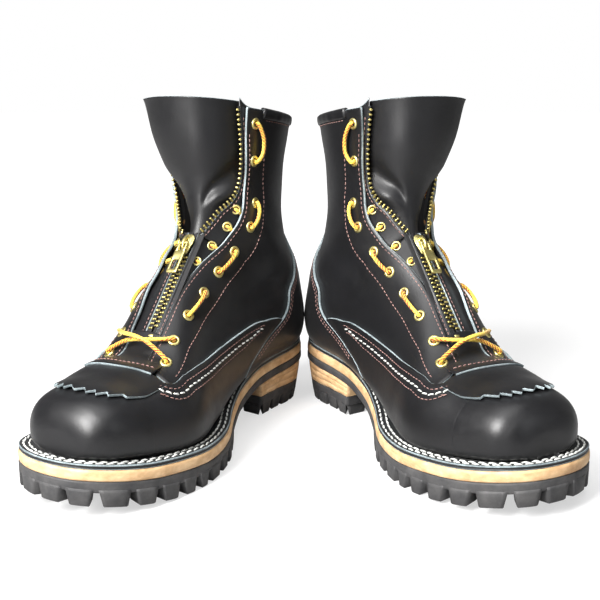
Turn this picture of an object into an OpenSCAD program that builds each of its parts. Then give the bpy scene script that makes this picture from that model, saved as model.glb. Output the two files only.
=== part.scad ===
// A pair of leather wildland fire boots with zip inserts, standing heel to heel.
// Each boot is drawn as a right boot in its own frame: X to the outer side, Y from the
// heel to the toe, Z up from the ground. The left boot is its mirror image.

/* [Stance] */
// Angle that each boot turns out from straight ahead
toe_out = 29; // [24:1:32]
// Distance of each heel's back from the middle of the pair
heel_offset = 18.5; // [18.5:0.5:30]
// Shift that centres the pair front to back
pair_shift = 132.3; // [100:0.5:160]

/* [Uppers] */
// Thickness of the main leather
leather_t = 2.0; // [1.6:0.1:2.4]
// Thickness of the covers that are stitched on top
cover_t = 1.7; // [1.2:0.1:2]
// Thickness of the leather of the zip insert
insert_t = 1.5; // [1.2:0.1:1.8]
// Number of points along the fringed edge
fringe_teeth = 9; // [7:1:11]

// Height of the binding round the top
band_h = 8; // [6:0.5:12]

/* [Sole] */
// Thickness of the welt and of the insole beside it
welt_t = 3.5; // [3:0.1:5]
// Thickness of the leather midsole
midsole_t = 7.5; // [6:0.5:10]
// Thickness of the rubber layer under the arch and the heel
shank_layer_t = 6.5; // [5:0.5:8]
// Height of the rubber top lift of the heel
heel_lug_h = 17; // [13:1:20]
// Distance between the notches round the heel
lug_pitch = 14; // [10:0.5:18]
// Height of a notch
lug_notch_h = 9; // [6:0.5:11]
// Depth of a notch into the sole
lug_notch_d = 7; // [4:0.5:9]

/* [Zip and laces] */
// Distance from tooth to tooth on one side
tooth_pitch = 3.6; // [2.6:0.1:4]
// Width of one side's tooth
tooth_w = 3.7; // [3:0.1:4.2]
// Slit between the closed sides, for the slider's neck
chain_slit = 1.5; // [1.2:0.1:2]
// Length of the pull tab
tab_l = 26; // [20:1:32]
// Outer radius of an eyelet's flange
eyelet_r = 4.3; // [3.5:0.1:5]
// Radius of an eyelet's hole
eyelet_hole_r = 2.2; // [1.9:0.1:2.6]
// Diameter of the lace
lace_d = 3; // [2.6:0.1:3.6]

/* [Hidden] */
$fn = 32;
PIECES = ["outsole", "heel_lug", "heel_stack", "midsole", "welt", "insole", "shank", "heel_nails",
    "vamp", "toe_stiffener", "heel_stiffener", "quarter_medial", "quarter_lateral", "counter_cover",
    "arch_patch_medial", "arch_patch_lateral", "collar_band", "kiltie", "tongue",
    "zip_panel_medial", "zip_panel_lateral", "zip_teeth_medial", "zip_teeth_lateral", "zip_stop",
    "zip_slider", "pull_tab", "eyelets", "panel_eyelets", "lace"];

gap = 0.25;
medial = -1;
lateral = 1;
black = [0.07, 0.07, 0.075];
tan = [0.80, 0.62, 0.42];
brass = [0.80, 0.62, 0.25];

// The last, as sections from the toe (row 0) to the top line (row 13). Each row holds
// the ridge's Y and Z, the bottom's Y and Z, the outer and inner half widths, the
// middle's X, the height of the widest point (0 to 1), and the upper and lower roundness.
LAST = [
    [288.5, 40.6, 288.5, 37.1, 9, 9, -9, 0.45, 2.2, 2.2],
    [288, 54.6, 287, 36.1, 20, 20, -9, 0.4, 2.2, 2.6],
    [282, 65.5, 281, 34.4, 30, 30, -8.5, 0.32, 2.4, 3],
    [269, 72.1, 270, 31.6, 37.5, 38.5, -7.5, 0.28, 2.5, 3.4],
    [238, 74.2, 240, 26.7, 46.5, 49, -6, 0.24, 2.4, 3.6],
    [208, 81.3, 205, 24.2, 48.5, 51.5, -5, 0.24, 2.2, 4],
    [187.5, 99.2, 170, 25.2, 45.5, 44, -2.5, 0.25, 2.1, 4.2],
    [168, 119.2, 128, 31.5, 40.5, 37, 0.5, 0.3, 2.1, 4],
    [149, 138.6, 72, 42.9, 36.5, 35.5, 1.5, 0.36, 2.1, 3.8],
    [136, 159.2, 11, 47.6, 37, 37.5, 0.5, 0.42, 2.1, 2.8],
    [130.5, 181.1, 2, 90.4, 39, 35.5, 1.5, 0.48, 2.1, 2.2],
    [129, 203, 17, 133.8, 42, 30.5, 2.5, 0.49, 2.2, 2.2],
    [128, 225, 20, 178.9, 45, 31.5, 3, 0.5, 2.2, 2.2],
    [126, 247, 10, 229.6, 48, 34.5, 3, 0.5, 2.2, 2.2]];
TOP = len(LAST) - 1;

// Outline of the sole's edge, as X and Y, from the back of the heel round the outer side
OUTLINE = [[0, 2], [20, 5], [32, 18], [36.5, 42], [37, 72], [39, 100], [44, 130], [50, 165],
    [53, 200], [52, 235], [46, 262], [34, 281], [14, 294], [-8, 298], [-28, 294], [-45, 280],
    [-57, 258], [-64, 228], [-65, 203], [-57, 172], [-42, 142], [-32, 115], [-28, 88],
    [-28.5, 62], [-30, 38], [-27, 17], [-17, 4]];
// Height of the midsole's top at distances from the heel
SOLE_TOP = [[-10, 48], [20, 46.4], [78, 41.6], [110, 34.5], [150, 26.1], [190, 22.8],
    [250, 26.5], [298, 34.4], [310, 36.3]];
// Underside of the rubber between the toe and the arch
TREAD = [[310, 13], [285, 8], [262, 4], [240, 1], [222, 0], [162, 0], [152, 2], [142, 7],
    [131, 12.5], [121, 18]];
heel_breast = 82;
// Places of the notches along the outline of the forefoot, wider apart round the toe
NOTCHES = [7.1, 7.55, 8, 8.45, 8.9, 9.4, 9.95, 10.5, 11.5, 12.5, 13.5, 14.5, 15.5, 16.2, 16.75, 17.3,
    17.85, 18.45, 18.95, 19.45];
heel_taper = 6;
heel_centre = [4, 36];

// ---- curves ----
function blend4(a, b, c, d, u) = 0.5 * (2 * b + (c - a) * u + (2 * a - 5 * b + 4 * c - d) * u * u
    + (3 * b - a - 3 * c + d) * u * u * u);
// Point at s on a smooth open curve through the rows of K
function along(K, s) = let (n = len(K) - 1, q = max(0, min(n - 0.0001, s)), i = floor(q))
    blend4(K[max(i - 1, 0)], K[i], K[i + 1], K[min(i + 2, n)], q - i);
// Point at s on a smooth closed curve through the rows of K
function round_loop(K, s) = let (n = len(K), q = (s % n + n) % n, i = floor(q))
    blend4(K[(i + n - 1) % n], K[i], K[(i + 1) % n], K[(i + 2) % n], q - i);
function row_of(K, x, i = 0) = i >= len(K) - 2 || x < K[i + 1][0] ? i : row_of(K, x, i + 1);
// Smooth value at x of a table of [x, value]
function value(K, x) = let (n = len(K) - 1, q = max(K[0][0], min(K[n][0], x)), i = row_of(K, q),
    h = K[i + 1][0] - K[i][0], u = (q - K[i][0]) / h,
    a = slope(K, i) * h, b = slope(K, i + 1) * h)
    K[i][1] * (1 - u) * (1 - u) * (1 + 2 * u) + a * u * (1 - u) * (1 - u)
    + K[i + 1][1] * u * u * (3 - 2 * u) - b * u * u * (1 - u);
function slope(K, i) = let (a = max(i - 1, 0), b = min(i + 1, len(K) - 1))
    (K[b][1] - K[a][1]) / (K[b][0] - K[a][0]);
function unit(v) = v / norm(v);
function mix(a, b, u) = a + (b - a) * u;
function flatten(K) = [for (row = K) each row];

// ---- the last's skin ----
function swell(c, e) = sign(c) * pow(abs(c), 2 / e);
// Point of the last at row t and angle p: 0 on the ridge, 90 outer side, -90 inner side,
// 180 at the bottom or the back
function last_at(t, p) = let (r = along(LAST, t), below = cos(p) < 0, e = below ? r[9] : r[8],
    a = below ? 90 + 90 * pow((90 - abs(180 - abs(p))) / 90, e / 2) : p,
    k = swell(cos(a), e), s = sign(sin(p)) * swell(abs(sin(a)), e),
    h = below ? r[7] + r[7] * k : r[7] + (1 - r[7]) * k)
    [r[6] + (s >= 0 ? r[4] : r[5]) * s, mix(r[2], r[0], h), mix(r[3], r[1], h)];
function normal_at(t, p) = unit(cross(last_at(min(TOP, t + 0.06), p) - last_at(max(0, t - 0.06), p),
    last_at(t, p + 2) - last_at(t, p - 2)));
function skin(t, p, d) = last_at(t, p) + d * normal_at(t, p);
function sole_top(y) = value(SOLE_TOP, y);
// Angle at which section t meets the welt
function foot(t, rise = 0.6, lo = 90, hi = 179.6, n = 14) = n == 0 ? lo
    : let (m = (lo + hi) / 2, q = last_at(t, m)) q[2] > sole_top(q[1]) + welt_t + rise
    ? foot(t, rise, m, hi, n - 1) : foot(t, rise, lo, m, n - 1);

// ---- solids from grids of points ----
// Closed sheet between an outer and an inner grid; rows run up the boot, columns run
// from the inner side to the outer side
module sheet(O, I) {
    nr = len(O);
    nc = len(O[0]);
    n = nr * nc;
    rim = concat([for (j = [0:nc - 1]) j], [for (i = [1:nr - 1]) i * nc + nc - 1],
        [for (j = [nc - 2:-1:0]) (nr - 1) * nc + j], [for (i = [nr - 2:-1:1]) i * nc]);
    cells = [for (i = [0:nr - 2]) for (j = [0:nc - 2]) i * nc + j];
    faces = concat(
        flatten([for (a = cells) [[a, a + nc + 1, a + nc], [a, a + 1, a + nc + 1]]]),
        flatten([for (a = cells) [[n + a, n + a + nc, n + a + nc + 1], [n + a, n + a + nc + 1, n + a + 1]]]),
        flatten([for (k = [0:len(rim) - 1]) let (a = rim[k], b = rim[(k + 1) % len(rim)])
            [[b, a, a + n], [b, a + n, b + n]]]));
    polyhedron(concat(flatten(O), flatten(I)), faces);
}

// Leather from depth d0 to d1 on the last; place(u, v) gives the row, angle and lift
module leather(place, nu, nv, d0, d1) {
    grid = [for (i = [0:nu]) [for (j = [0:nv]) place(i / nu, j / nv)]];
    sheet([for (row = grid) [for (q = row) skin(q[0], q[1], q[2] + d1)]],
        [for (row = grid) [for (q = row) skin(q[0], q[1], q[2] + d0)]]);
}

// Tube of radius r with n sides through points P
module tube(P, r, n = 6) {
    last = len(P) - 1;
    ring = [for (i = [0:last]) let (d = unit(P[min(i + 1, last)] - P[max(i - 1, 0)]),
        a = unit(cross(d, abs(d[2]) > 0.9 ? [1, 0, 0] : [0, 0, 1])), b = cross(d, a))
        [for (k = [0:n - 1]) P[i] + r * (cos(k * 360 / n) * a + sin(k * 360 / n) * b)]];
    polyhedron(flatten(ring), concat([[for (k = [0:n - 1]) k]],
        flatten([for (i = [0:last - 1]) flatten([for (k = [0:n - 1])
            let (a = i * n + k, b = i * n + (k + 1) % n) [[a, a + n, b + n], [a, b + n, b]]])]),
        [[for (k = [n - 1:-1:0]) last * n + k]]));
}

// Children turned so that their X runs along x and their Z along the part of z square to it
module pose(o, x, z) {
    a = unit(x);
    b = unit(cross(z, a));
    c = cross(a, b);
    translate(o) rotate([atan2(b[2], c[2]), -asin(max(-1, min(1, a[2]))), atan2(a[1], a[0])]) children();
}

// ---- sole ----
function edge_at(s) = round_loop(OUTLINE, s);
function edge_out(s) = let (d = unit(edge_at(s + 0.05) - edge_at(s - 0.05))) [d[1], -d[0]];
function outline(inset) = [for (s = [0:1 / 3:len(OUTLINE) - 0.1]) edge_at(s) - inset * edge_out(s)];
// Slab across the boot whose section in Y and Z is the polygon P
module across(P) rotate([90, 0, 90]) translate([0, 0, -80]) linear_extrude(160) polygon(P);
// Heights d above the midsole's top, from the heel to the toe, at steps that all layers share
function sole_line(d) = [for (y = [-8:9.875:308]) [y, sole_top(y) + d]];
function reversed(K) = [for (i = [len(K) - 1:-1:0]) K[i]];
module slab(low, high) across(concat(sole_line(low), reversed(sole_line(high))));
module inside(inset) linear_extrude(110) polygon(outline(inset));

// Steps along the outline between s0 and s1, and the places that cut it into even lengths
function edge_steps(s0, s1, n = 60) = [for (i = [0:n]) mix(s0, s1, i / n)];
function edge_lengths(S, i = 0, sum = 0) = i >= len(S) ? [] : let (
    l = i == 0 ? 0 : sum + norm(edge_at(S[i]) - edge_at(S[i - 1])))
    concat([[l, S[i]]], edge_lengths(S, i + 1, l));
function even_places(s0, s1) = let (table = edge_lengths(edge_steps(s0, s1)),
    total = table[len(table) - 1][0], count = floor(total / lug_pitch))
    [for (k = [0:count]) lookup(total * (k + 0.5) / (count + 1), table)];
// Notches square to the sole's edge, half low wide at the ground and half high at the root
module notches(places, rise, low, high)
    for (s = places) {
        q = edge_at(s);
        o = edge_out(s);
        translate([q[0], q[1], rise(q[1]) - 1]) rotate([0, 0, atan2(o[1], o[0]) - 90])
            translate([0, 3, 0]) rotate([90, 0, 0]) linear_extrude(lug_notch_d + 3)
            polygon([[-low, 0], [low, 0], [high, lug_notch_h + 1], [-high, lug_notch_h + 1]]);
    }
function tread_z(y) = y > 222 ? lookup(y, [for (i = [4:-1:0]) TREAD[i]]) : 0;
module tread_grooves(y0, y1, half, z) {
    for (y = [y0:14:y1])
        for (side = [-1, 1])
            translate([-6, y, z]) rotate([0, 0, side * 25]) translate([side > 0 ? 0 : -half, -2, -1])
                cube([half, 4, 6]);
}

module outsole() color(black) difference() {
    intersection() {
        inside(0);
        union() {
            slab(-midsole_t - shank_layer_t, -midsole_t);
            across(concat(TREAD, [[112, 22.5]], [for (q = sole_line(-midsole_t - 1)) if (q[0] > 108) q]));
        }
    }
    notches(NOTCHES, function (y) tread_z(y), 3.9, 2.1);
    tread_grooves(160, 216, 34, 0);
}
// Slanted cuts that draw the heel in towards its tread, all round its back
module heel_slant()
    for (a = [-100:20:100])
        translate([heel_centre[0], heel_centre[1], 0]) rotate([0, 0, a]) translate([0, -heel_centre[1], 0])
            across([[-20, -1], [heel_taper, -1], [0, 40], [-20, 40]]);
module heel_lug() color(black) difference() {
    intersection() {
        inside(0.6);
        across([[-9, 0], [heel_breast - 5, 0], [heel_breast - 2.5, heel_lug_h], [-9, heel_lug_h]]);
    }
    heel_slant();
    notches(even_places(-2.7, 4.2), function (y) 0, 2.8, 1.4);
    tread_grooves(24, 60, 22, 0);
}
module heel_stack() color(tan) difference() {
    intersection() {
        inside(0.6);
        across([[-9, heel_lug_h + 0.01], [heel_breast - 2.5, heel_lug_h + 0.01], [heel_breast, 60],
            [-9, 60]]);
        slab(-60, -midsole_t - shank_layer_t - 0.01);
    }
    heel_slant();
}
shank_w = 14;
module shank_space(grow) intersection() {
    slab(-1.8 - grow, -0.2 + grow);
    translate([-3 - shank_w / 2 - grow, 55 - grow, 0]) cube([shank_w + 2 * grow, 95 + 2 * grow, 80]);
}
module midsole() color(tan) difference() {
    intersection() {
        inside(0.3);
        slab(-midsole_t + 0.01, 0);
    }
    shank_space(0.12);
}
module shank() color("silver") shank_space(0);
welt_w = 15;
module welt() color(black) intersection() {
    difference() {
        inside(0.8);
        inside(welt_w);
    }
    slab(0.01, welt_t);
}
module insole() color(tan) intersection() {
    inside(welt_w + gap);
    slab(0.01, welt_t);
}
module heel_nails() color("silver")
    for (q = [[-16, 26], [16, 26], [-18, 46], [18, 46], [-16, 66], [16, 66], [0, 16], [0, 68]])
        translate([q[0], q[1], 11]) {
            cylinder(h = 15, d = 2.4);
            translate([0, 0, -1]) cylinder(h = 1.2, d = 5);
        }

// ---- uppers ----
// Leather on one side, in rows of u from the table and columns from the angle edge(t)
// to the welt or to the seam down the back
module side_leather(side, rows, edge, rise, nu, nv, d0, d1)
    leather(function (u, v) let (t = lookup(u, rows), f = edge(t), b = max(f + 3, foot(t, rise)))
        [t, side * mix(f, b, side > 0 ? v : 1 - v), 0], nu, nv, d0, d1);

vamp_seam = 4.55;
// The inner edge of each quarter in front: the angle by row, as a magnitude
QUARTER_FRONT = [[4.6, 30], [4.8, 15], [5.1, 12], [5.6, 14], [7.4, 22], [9.1, 38], [10, 52],
    [11.4, 68], [12.9, 63]];
function quarter_front(t) = value(QUARTER_FRONT, t);
// Rows of the quarters, closer together round the heel
QUARTER_ROWS = [[0, 4.6], [0.3, 7.8], [0.75, 10], [1, 13]];
module quarter(side) color(black)
    side_leather(side, QUARTER_ROWS, function (t) quarter_front(t), 0.6, 20, 13, -leather_t, 0);
module quarter_medial() quarter(medial);
module quarter_lateral() quarter(lateral);

// The vamp sinks under the quarters behind the seam
function vamp_sink(t) = -(leather_t + gap) * value([[3.7, 0], [4.4, 1], [6, 1]], t);
module vamp() color(black)
    leather(function (u, v) let (t = mix(0, 5.15, u)) [t, mix(-foot(t), foot(t), v), vamp_sink(t)],
        13, 21, -leather_t, 0);
module toe_stiffener() color(tan)
    leather(function (u, v) let (t = mix(1, 2.9, u), f = min(foot(t), 105)) [t, mix(-f, f, v), 0],
        6, 12, -leather_t - 1.8, -leather_t - 0.4);
module heel_stiffener() color(tan)
    for (side = [medial, lateral])
        side_leather(side, [[0, 7.9], [1, 10.4]], function (t) 112, 4, 8, 6, -leather_t - 2.6,
            -leather_t - 1.2);

// Front and top edge of the counter cover, as the angle at each row
COUNTER_EDGE = [[7.35, 141], [7.55, 128], [8.1, 115], [8.55, 105], [9.05, 98], [9.3, 98], [9.7, 109],
    [10.2, 122], [10.9, 148], [11.25, 164], [11.45, 172], [12.4, 172]];
COUNTER_ROWS = [[0, 7.35], [0.75, 10.4], [1, 12.4]];
module counter_cover() color(black)
    for (side = [medial, lateral])
        side_leather(side, COUNTER_ROWS, function (t) value(COUNTER_EDGE, t), 2, 17, 7, 0.4, 0.4 + cover_t);

// The top edge of the arch patch, by row, and its rear edge against the counter cover
ARCH_TOP = [[4.65, 44], [5.1, 46], [6.1, 61], [7, 74], [7.9, 85], [8.4, 90]];
module arch_patch(side) color(black)
    leather(function (u, v) let (w = side > 0 ? v : 1 - v, t = mix(vamp_seam + 0.12, mix(8.35, 7.05, w), u),
        p = mix(value(ARCH_TOP, t), max(value(ARCH_TOP, t) + 4, foot(t, 1.8)), w)) [t, side * p, 0],
        14, 5, 0.55, 0.55 + cover_t);
module arch_patch_medial() arch_patch(medial);
module arch_patch_lateral() arch_patch(lateral);

// Lower edge of the band at angle p, a steady height below the top line, whose rows lie
// closer together in front than at the back
function band_low(p) = TOP - band_h / mix(51, 22, (1 + cos(p)) / 2);
module collar_band() color(black)
    leather(function (u, v) let (p = mix(84, 276, v)) [mix(band_low(p), TOP, u), p, 0], 2, 26, 0.3, 1.5);

// The fringed flap over the vamp: rounded in plan, with a zigzag front edge
kiltie_half = 42;
function zigzag(v) = abs((v * fringe_teeth) % 1 - 0.5) * 2;
module kiltie() color(black)
    leather(function (u, v) let (p = mix(-kiltie_half, kiltie_half, v),
        t0 = 2.95 + 0.75 * pow(abs(p) / kiltie_half, 3) + 0.17 * zigzag(v))
        [mix(t0, vamp_seam - 0.08, u), p, 0], 5, 4 * fringe_teeth,
        0.15, 0.15 + cover_t);

// The tongue fills the open zip and leans out over the outer flap at the top
TONGUE_MEDIAL = [[5, -14], [8.2, -17], [9, -24], [10, -44], [11.3, -70], [13, -60]];
TONGUE_LATERAL = [[5, 14], [8.6, 10], [9.6, 22], [10.4, 35], [11.2, 43], [12, 47], [13, 49]];
TONGUE_DEPTH = [[5, -10], [9.2, -10], [10, -8.5], [13, -7]];
TONGUE_LEAN = [[10, 0], [10.6, 3], [11.2, 9], [12, 15], [13, 22]];
module tongue() color(black)
    leather(function (u, v) let (t = mix(5.2, TOP, u))
        [t, mix(value(TONGUE_MEDIAL, t), value(TONGUE_LATERAL, t), v),
        value(TONGUE_DEPTH, t) + max(0, lookup(t, TONGUE_LEAN)) * pow(v, 1.8)], 17, 10, -1.7, 0);

// ---- zip insert ----
// The closed part of the zip is straight, from the slider down to the stop
chain_top = [-2.5, 137.8, 146.1];
chain_low = [-6.5, 193.3, 89.2];
chain_l = norm(chain_low - chain_top);
chain_dir = unit(chain_low - chain_top);
chain_out = unit(cross([1, -0.1, 0], chain_dir));
chain_side = cross(chain_dir, chain_out);
// Children in the chain's frame: X to the outer side, Y down the chain, Z out of the boot
module on_chain(y = 0) pose(chain_top + y * chain_dir, chain_side, chain_out) children();

// The open flaps' edges above the slider, as rows and angles
FLAP_MEDIAL = [[8.9, -14], [9.3, -22], [9.8, -32], [10.3, -45], [10.9, -59], [11.5, -64.5],
    [12.2, -62.5], [13, -54]];
FLAP_LATERAL = [[8.9, 14], [9.3, 24], [9.8, 35], [10.3, 43], [10.9, 48], [11.5, 50], [12.2, 50], [13, 51]];
flap_depth = -3;
function flap_path(side) = concat(
    [chain_top + side * (chain_slit / 2 + tooth_w / 2) * chain_side - 11 * chain_dir],
    [for (q = side > 0 ? FLAP_LATERAL : FLAP_MEDIAL) skin(q[0], q[1], flap_depth)]);
FLAP = [flap_path(medial), flap_path(lateral)];
function flap(side) = side > 0 ? FLAP[1] : FLAP[0];
flap_n = len(FLAP_MEDIAL);
function flap_row(w) = w < 1 ? mix(8.7, 8.9, w) : along([for (q = FLAP_MEDIAL) [q[0], 0]], w - 1)[0];
function path_lengths(K, n, i = 0, sum = 0) = i > n ? [] : let (s = (len(K) - 1) * i / n,
    l = i == 0 ? 0 : sum + norm(along(K, s) - along(K, s - (len(K) - 1) / n)))
    concat([[l, s]], path_lengths(K, n, i + 1, l));

// Inner edge of the insert's leather at u: straight for u < 1, along the open flap above
function insert_edge(side, u) = u < 1
    ? mix(chain_low, chain_top - 11 * chain_dir, u) + side * (chain_slit / 2 + tooth_w + 0.3) * chain_side
    : let (w = (u - 1) * flap_n, p = along(flap(side), w), q = skin(flap_row(w), side * 85, flap_depth),
        d = unit(q - p)) p + (tooth_w / 2 + 0.7) * d;
function insert_row(u) = u < 1 ? mix(5.6, 8.7, u) : flap_row((u - 1) * flap_n);
module zip_panel(side) {
    nu = 34;
    nv = 3;
    mids = [for (i = [0:nu]) let (u = 2 * i / nu, t = insert_row(u), a = insert_edge(side, u),
        p = side * (quarter_front(t) + 11), b = skin(t, p, -leather_t - 2 * gap - insert_t / 2))
        [for (j = [0:nv]) let (v = side > 0 ? j / nv : 1 - j / nv)
        [mix(a, b, v), normal_at(t, mix(side * 4, p, v))]]];
    color(black) sheet([for (row = mids) [for (q = row) q[0] + insert_t / 2 * q[1]]],
        [for (row = mids) [for (q = row) q[0] - insert_t / 2 * q[1]]]);
}
module zip_panel_medial() zip_panel(medial);
module zip_panel_lateral() zip_panel(lateral);

tooth_t = 1.6;
tooth_h = 2.4;
module tooth() cube([tooth_w, tooth_t, tooth_h], center = true);
module zip_teeth(side) color(brass) {
    for (k = [0:floor((chain_l - 19) / tooth_pitch)])
        on_chain(13 + (k + side * 0.25) * tooth_pitch)
            translate([side * (chain_slit + tooth_w) / 2, 0, 0]) tooth();
    table = path_lengths(flap(side), 60);
    total = table[len(table) - 1][0];
    for (k = [0:floor((total - 9) / tooth_pitch)]) {
        w = lookup(7 + k * tooth_pitch, table);
        o = along(flap(side), w);
        d = along(flap(side), w + 0.05) - along(flap(side), w - 0.05);
        n = normal_at(flap_row(w), side * 40);
        pose(o, cross(d, n), n) tooth();
    }
}
module zip_teeth_medial() zip_teeth(medial);
module zip_teeth_lateral() zip_teeth(lateral);
module zip_stop() color(brass) on_chain(chain_l - 1.5) cube([7.6, 2.4, 3.4], center = true);

slider_l = 17;
slider_w = 11;
plate_t = 1.2;
plate_z = 2.2;
hinge_z = plate_z + plate_t + 2.4;
hinge_y = 1;
module slider_plate() linear_extrude(plate_t) polygon([[-slider_w / 2, -slider_l / 2 + 3],
    [-slider_w / 2 + 2, -slider_l / 2], [slider_w / 2 - 2, -slider_l / 2], [slider_w / 2, -slider_l / 2 + 3],
    [slider_w / 2 - 1, slider_l / 2 - 2], [slider_w / 2 - 3, slider_l / 2], [-slider_w / 2 + 3, slider_l / 2],
    [-slider_w / 2 + 1, slider_l / 2 - 2]]);
slider_y = 2;
module zip_slider() color(brass) on_chain(slider_y) difference() {
    union() {
        translate([0, 0, plate_z]) slider_plate();
        translate([0, 0, -plate_z - plate_t]) slider_plate();
        translate([-0.55, -slider_l / 2, -plate_z - 0.1]) cube([1.1, 3.5, 2 * plate_z + 0.2]);
        translate([-1.8, -5, plate_z + plate_t - 0.1]) cube([3.6, 10, 4.6]);
    }
    translate([-5, hinge_y, hinge_z]) rotate([0, 90, 0]) cylinder(h = 10, r = 1.15);
}
module pull_tab() color(brass) on_chain(slider_y) translate([0, hinge_y, hinge_z]) {
    rotate([0, 90, 0]) translate([0, 0, -3.2]) cylinder(h = 6.4, r = 1.1);
    for (side = [-1, 1])
        translate([side * 3.1 - 1, 0, -0.8]) cube([2, 9, 1.6]);
    difference() {
        translate([-4.5, 7, -0.8]) cube([9, tab_l - 7, 1.6]);
        translate([-2.6, tab_l - 11, -2]) cube([5.2, 8, 4]);
    }
}

// ---- eyelets and lace ----
// Rows and angles of the eyelets along each quarter's front edge, from the throat up
EYELETS = [[5.1, 27], [5.8, 28], [6.7, 35.5], [7.5, 41], [8.2, 43], [8.95, 46], [9.9, 60], [10.8, 75],
    [11.85, 77], [12.6, 74]];
module ring(r, hole, h) difference() {
    cylinder(h = h, r = r);
    translate([0, 0, -1]) cylinder(h = h + 2, r = hole);
}
module eyelets() color(brass)
    for (side = [medial, lateral])
        for (q = EYELETS)
            pose(skin(q[0], side * q[1], 0.05), [0, 0, 1], normal_at(q[0], side * q[1]))
                ring(eyelet_r, eyelet_hole_r, 0.9);
// Eyelets of the insert, beside the quarter's edge
panel_inset = 4.5;
PANEL_ROWS = [8.1, 8.75, 9.5, 10.15];
function panel_spot(side, t) = skin(t, side * (quarter_front(t) - panel_inset), -leather_t - gap + 0.3);
module panel_eyelets() color(brass)
    for (side = [medial, lateral])
        for (t = PANEL_ROWS)
            pose(panel_spot(side, t), [0, 0, 1], normal_at(t, side * (quarter_front(t) - panel_inset)))
                ring(2.9, eyelet_hole_r, 0.8);

lace_up = 0.9 + lace_d / 2 + 0.1;
function hole(side, k, d) = skin(EYELETS[k][0], side * EYELETS[k][1], d);
// One side's lace from the top eyelet down: over two eyelets, then under to the insert
function lace_side(side) = [for (k = [9:-2:3]) each [hole(side, k, lace_up - 1.4),
    mix(hole(side, k, lace_up + 1.2), hole(side, k - 1, lace_up + 1.2), 0.25),
    mix(hole(side, k, lace_up + 1.2), hole(side, k - 1, lace_up + 1.2), 0.75),
    hole(side, k - 1, lace_up - 1.4), hole(side, k - 1, -leather_t - 1),
    mix(hole(side, k - 1, -leather_t - 1), hole(side, k - 2, -leather_t - 1), 0.5)
    + 0.5 * (panel_spot(side, mix(EYELETS[k - 1][0], EYELETS[k - 2][0], 0.5))
    - mix(hole(side, k - 1, 0), hole(side, k - 2, 0), 0.5)),
    hole(side, k - 2, -leather_t - 1)]];
function cross_lace(a, b, rise) = [for (u = [0.12, 0.35, 0.65, 0.88]) mix(a, b, u)
    + [0, 0.7, 0.7] * rise * sin(180 * u)];
lace_route = concat(lace_side(medial), [hole(medial, 1, lace_up - 1)],
    cross_lace(hole(medial, 1, lace_up), hole(lateral, 0, lace_up), 7),
    [hole(lateral, 0, lace_up - 1), hole(lateral, 0, -leather_t - 4), hole(medial, 0, -leather_t - 4),
    hole(medial, 0, lace_up - 1)],
    cross_lace(hole(medial, 0, lace_up), hole(lateral, 1, lace_up), 12), [hole(lateral, 1, lace_up - 1)],
    [for (i = [len(lace_side(lateral)) - 1:-1:0]) lace_side(lateral)[i]]);
module lace() color([0.85, 0.6, 0.2]) tube(lace_route, lace_d / 2, 6);

// ---- the pair ----
module stand() translate([-heel_offset, pair_shift, 0]) rotate([0, 0, 180 - toe_out]) children();
module piece(name) {
    if (name == "outsole") outsole();
    if (name == "heel_lug") heel_lug();
    if (name == "heel_stack") heel_stack();
    if (name == "midsole") midsole();
    if (name == "welt") welt();
    if (name == "insole") insole();
    if (name == "shank") shank();
    if (name == "heel_nails") heel_nails();
    if (name == "vamp") vamp();
    if (name == "toe_stiffener") toe_stiffener();
    if (name == "heel_stiffener") heel_stiffener();
    if (name == "quarter_medial") quarter_medial();
    if (name == "quarter_lateral") quarter_lateral();
    if (name == "counter_cover") counter_cover();
    if (name == "arch_patch_medial") arch_patch_medial();
    if (name == "arch_patch_lateral") arch_patch_lateral();
    if (name == "collar_band") collar_band();
    if (name == "kiltie") kiltie();
    if (name == "tongue") tongue();
    if (name == "zip_panel_medial") zip_panel_medial();
    if (name == "zip_panel_lateral") zip_panel_lateral();
    if (name == "zip_teeth_medial") zip_teeth_medial();
    if (name == "zip_teeth_lateral") zip_teeth_lateral();
    if (name == "zip_stop") zip_stop();
    if (name == "zip_slider") zip_slider();
    if (name == "pull_tab") pull_tab();
    if (name == "eyelets") eyelets();
    if (name == "panel_eyelets") panel_eyelets();
    if (name == "lace") lace();
}
for (name = PIECES) {
    stand() piece(name);
    mirror([1, 0, 0]) stand() piece(name);
}
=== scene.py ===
"""Looks for a pair of wildland fire boots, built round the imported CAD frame.

Each piece is made once, in the frame of a right boot and in millimetres: X to the outer side,
Y from the heel to the toe, Z up. place() turns it out, mirrors it for the left boot and scales
it to metres in the row frame.
"""

import math
from itertools import product

import bpy
import numpy as np
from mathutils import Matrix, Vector


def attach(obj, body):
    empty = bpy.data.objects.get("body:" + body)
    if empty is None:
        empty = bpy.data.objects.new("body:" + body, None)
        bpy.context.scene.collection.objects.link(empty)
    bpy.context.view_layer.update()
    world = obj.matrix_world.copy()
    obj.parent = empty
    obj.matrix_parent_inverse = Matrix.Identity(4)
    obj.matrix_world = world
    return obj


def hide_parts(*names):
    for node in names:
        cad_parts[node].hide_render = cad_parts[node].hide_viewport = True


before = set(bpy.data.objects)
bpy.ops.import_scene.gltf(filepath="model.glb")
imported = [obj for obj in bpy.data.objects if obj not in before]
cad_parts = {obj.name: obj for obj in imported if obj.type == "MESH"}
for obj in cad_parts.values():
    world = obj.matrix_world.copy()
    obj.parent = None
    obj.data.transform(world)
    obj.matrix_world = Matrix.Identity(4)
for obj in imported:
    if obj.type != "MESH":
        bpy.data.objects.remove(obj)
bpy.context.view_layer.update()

MM = 0.001
SIDES = {"right": 1, "left": -1}
MEDIAL, LATERAL = -1, 1

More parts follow.
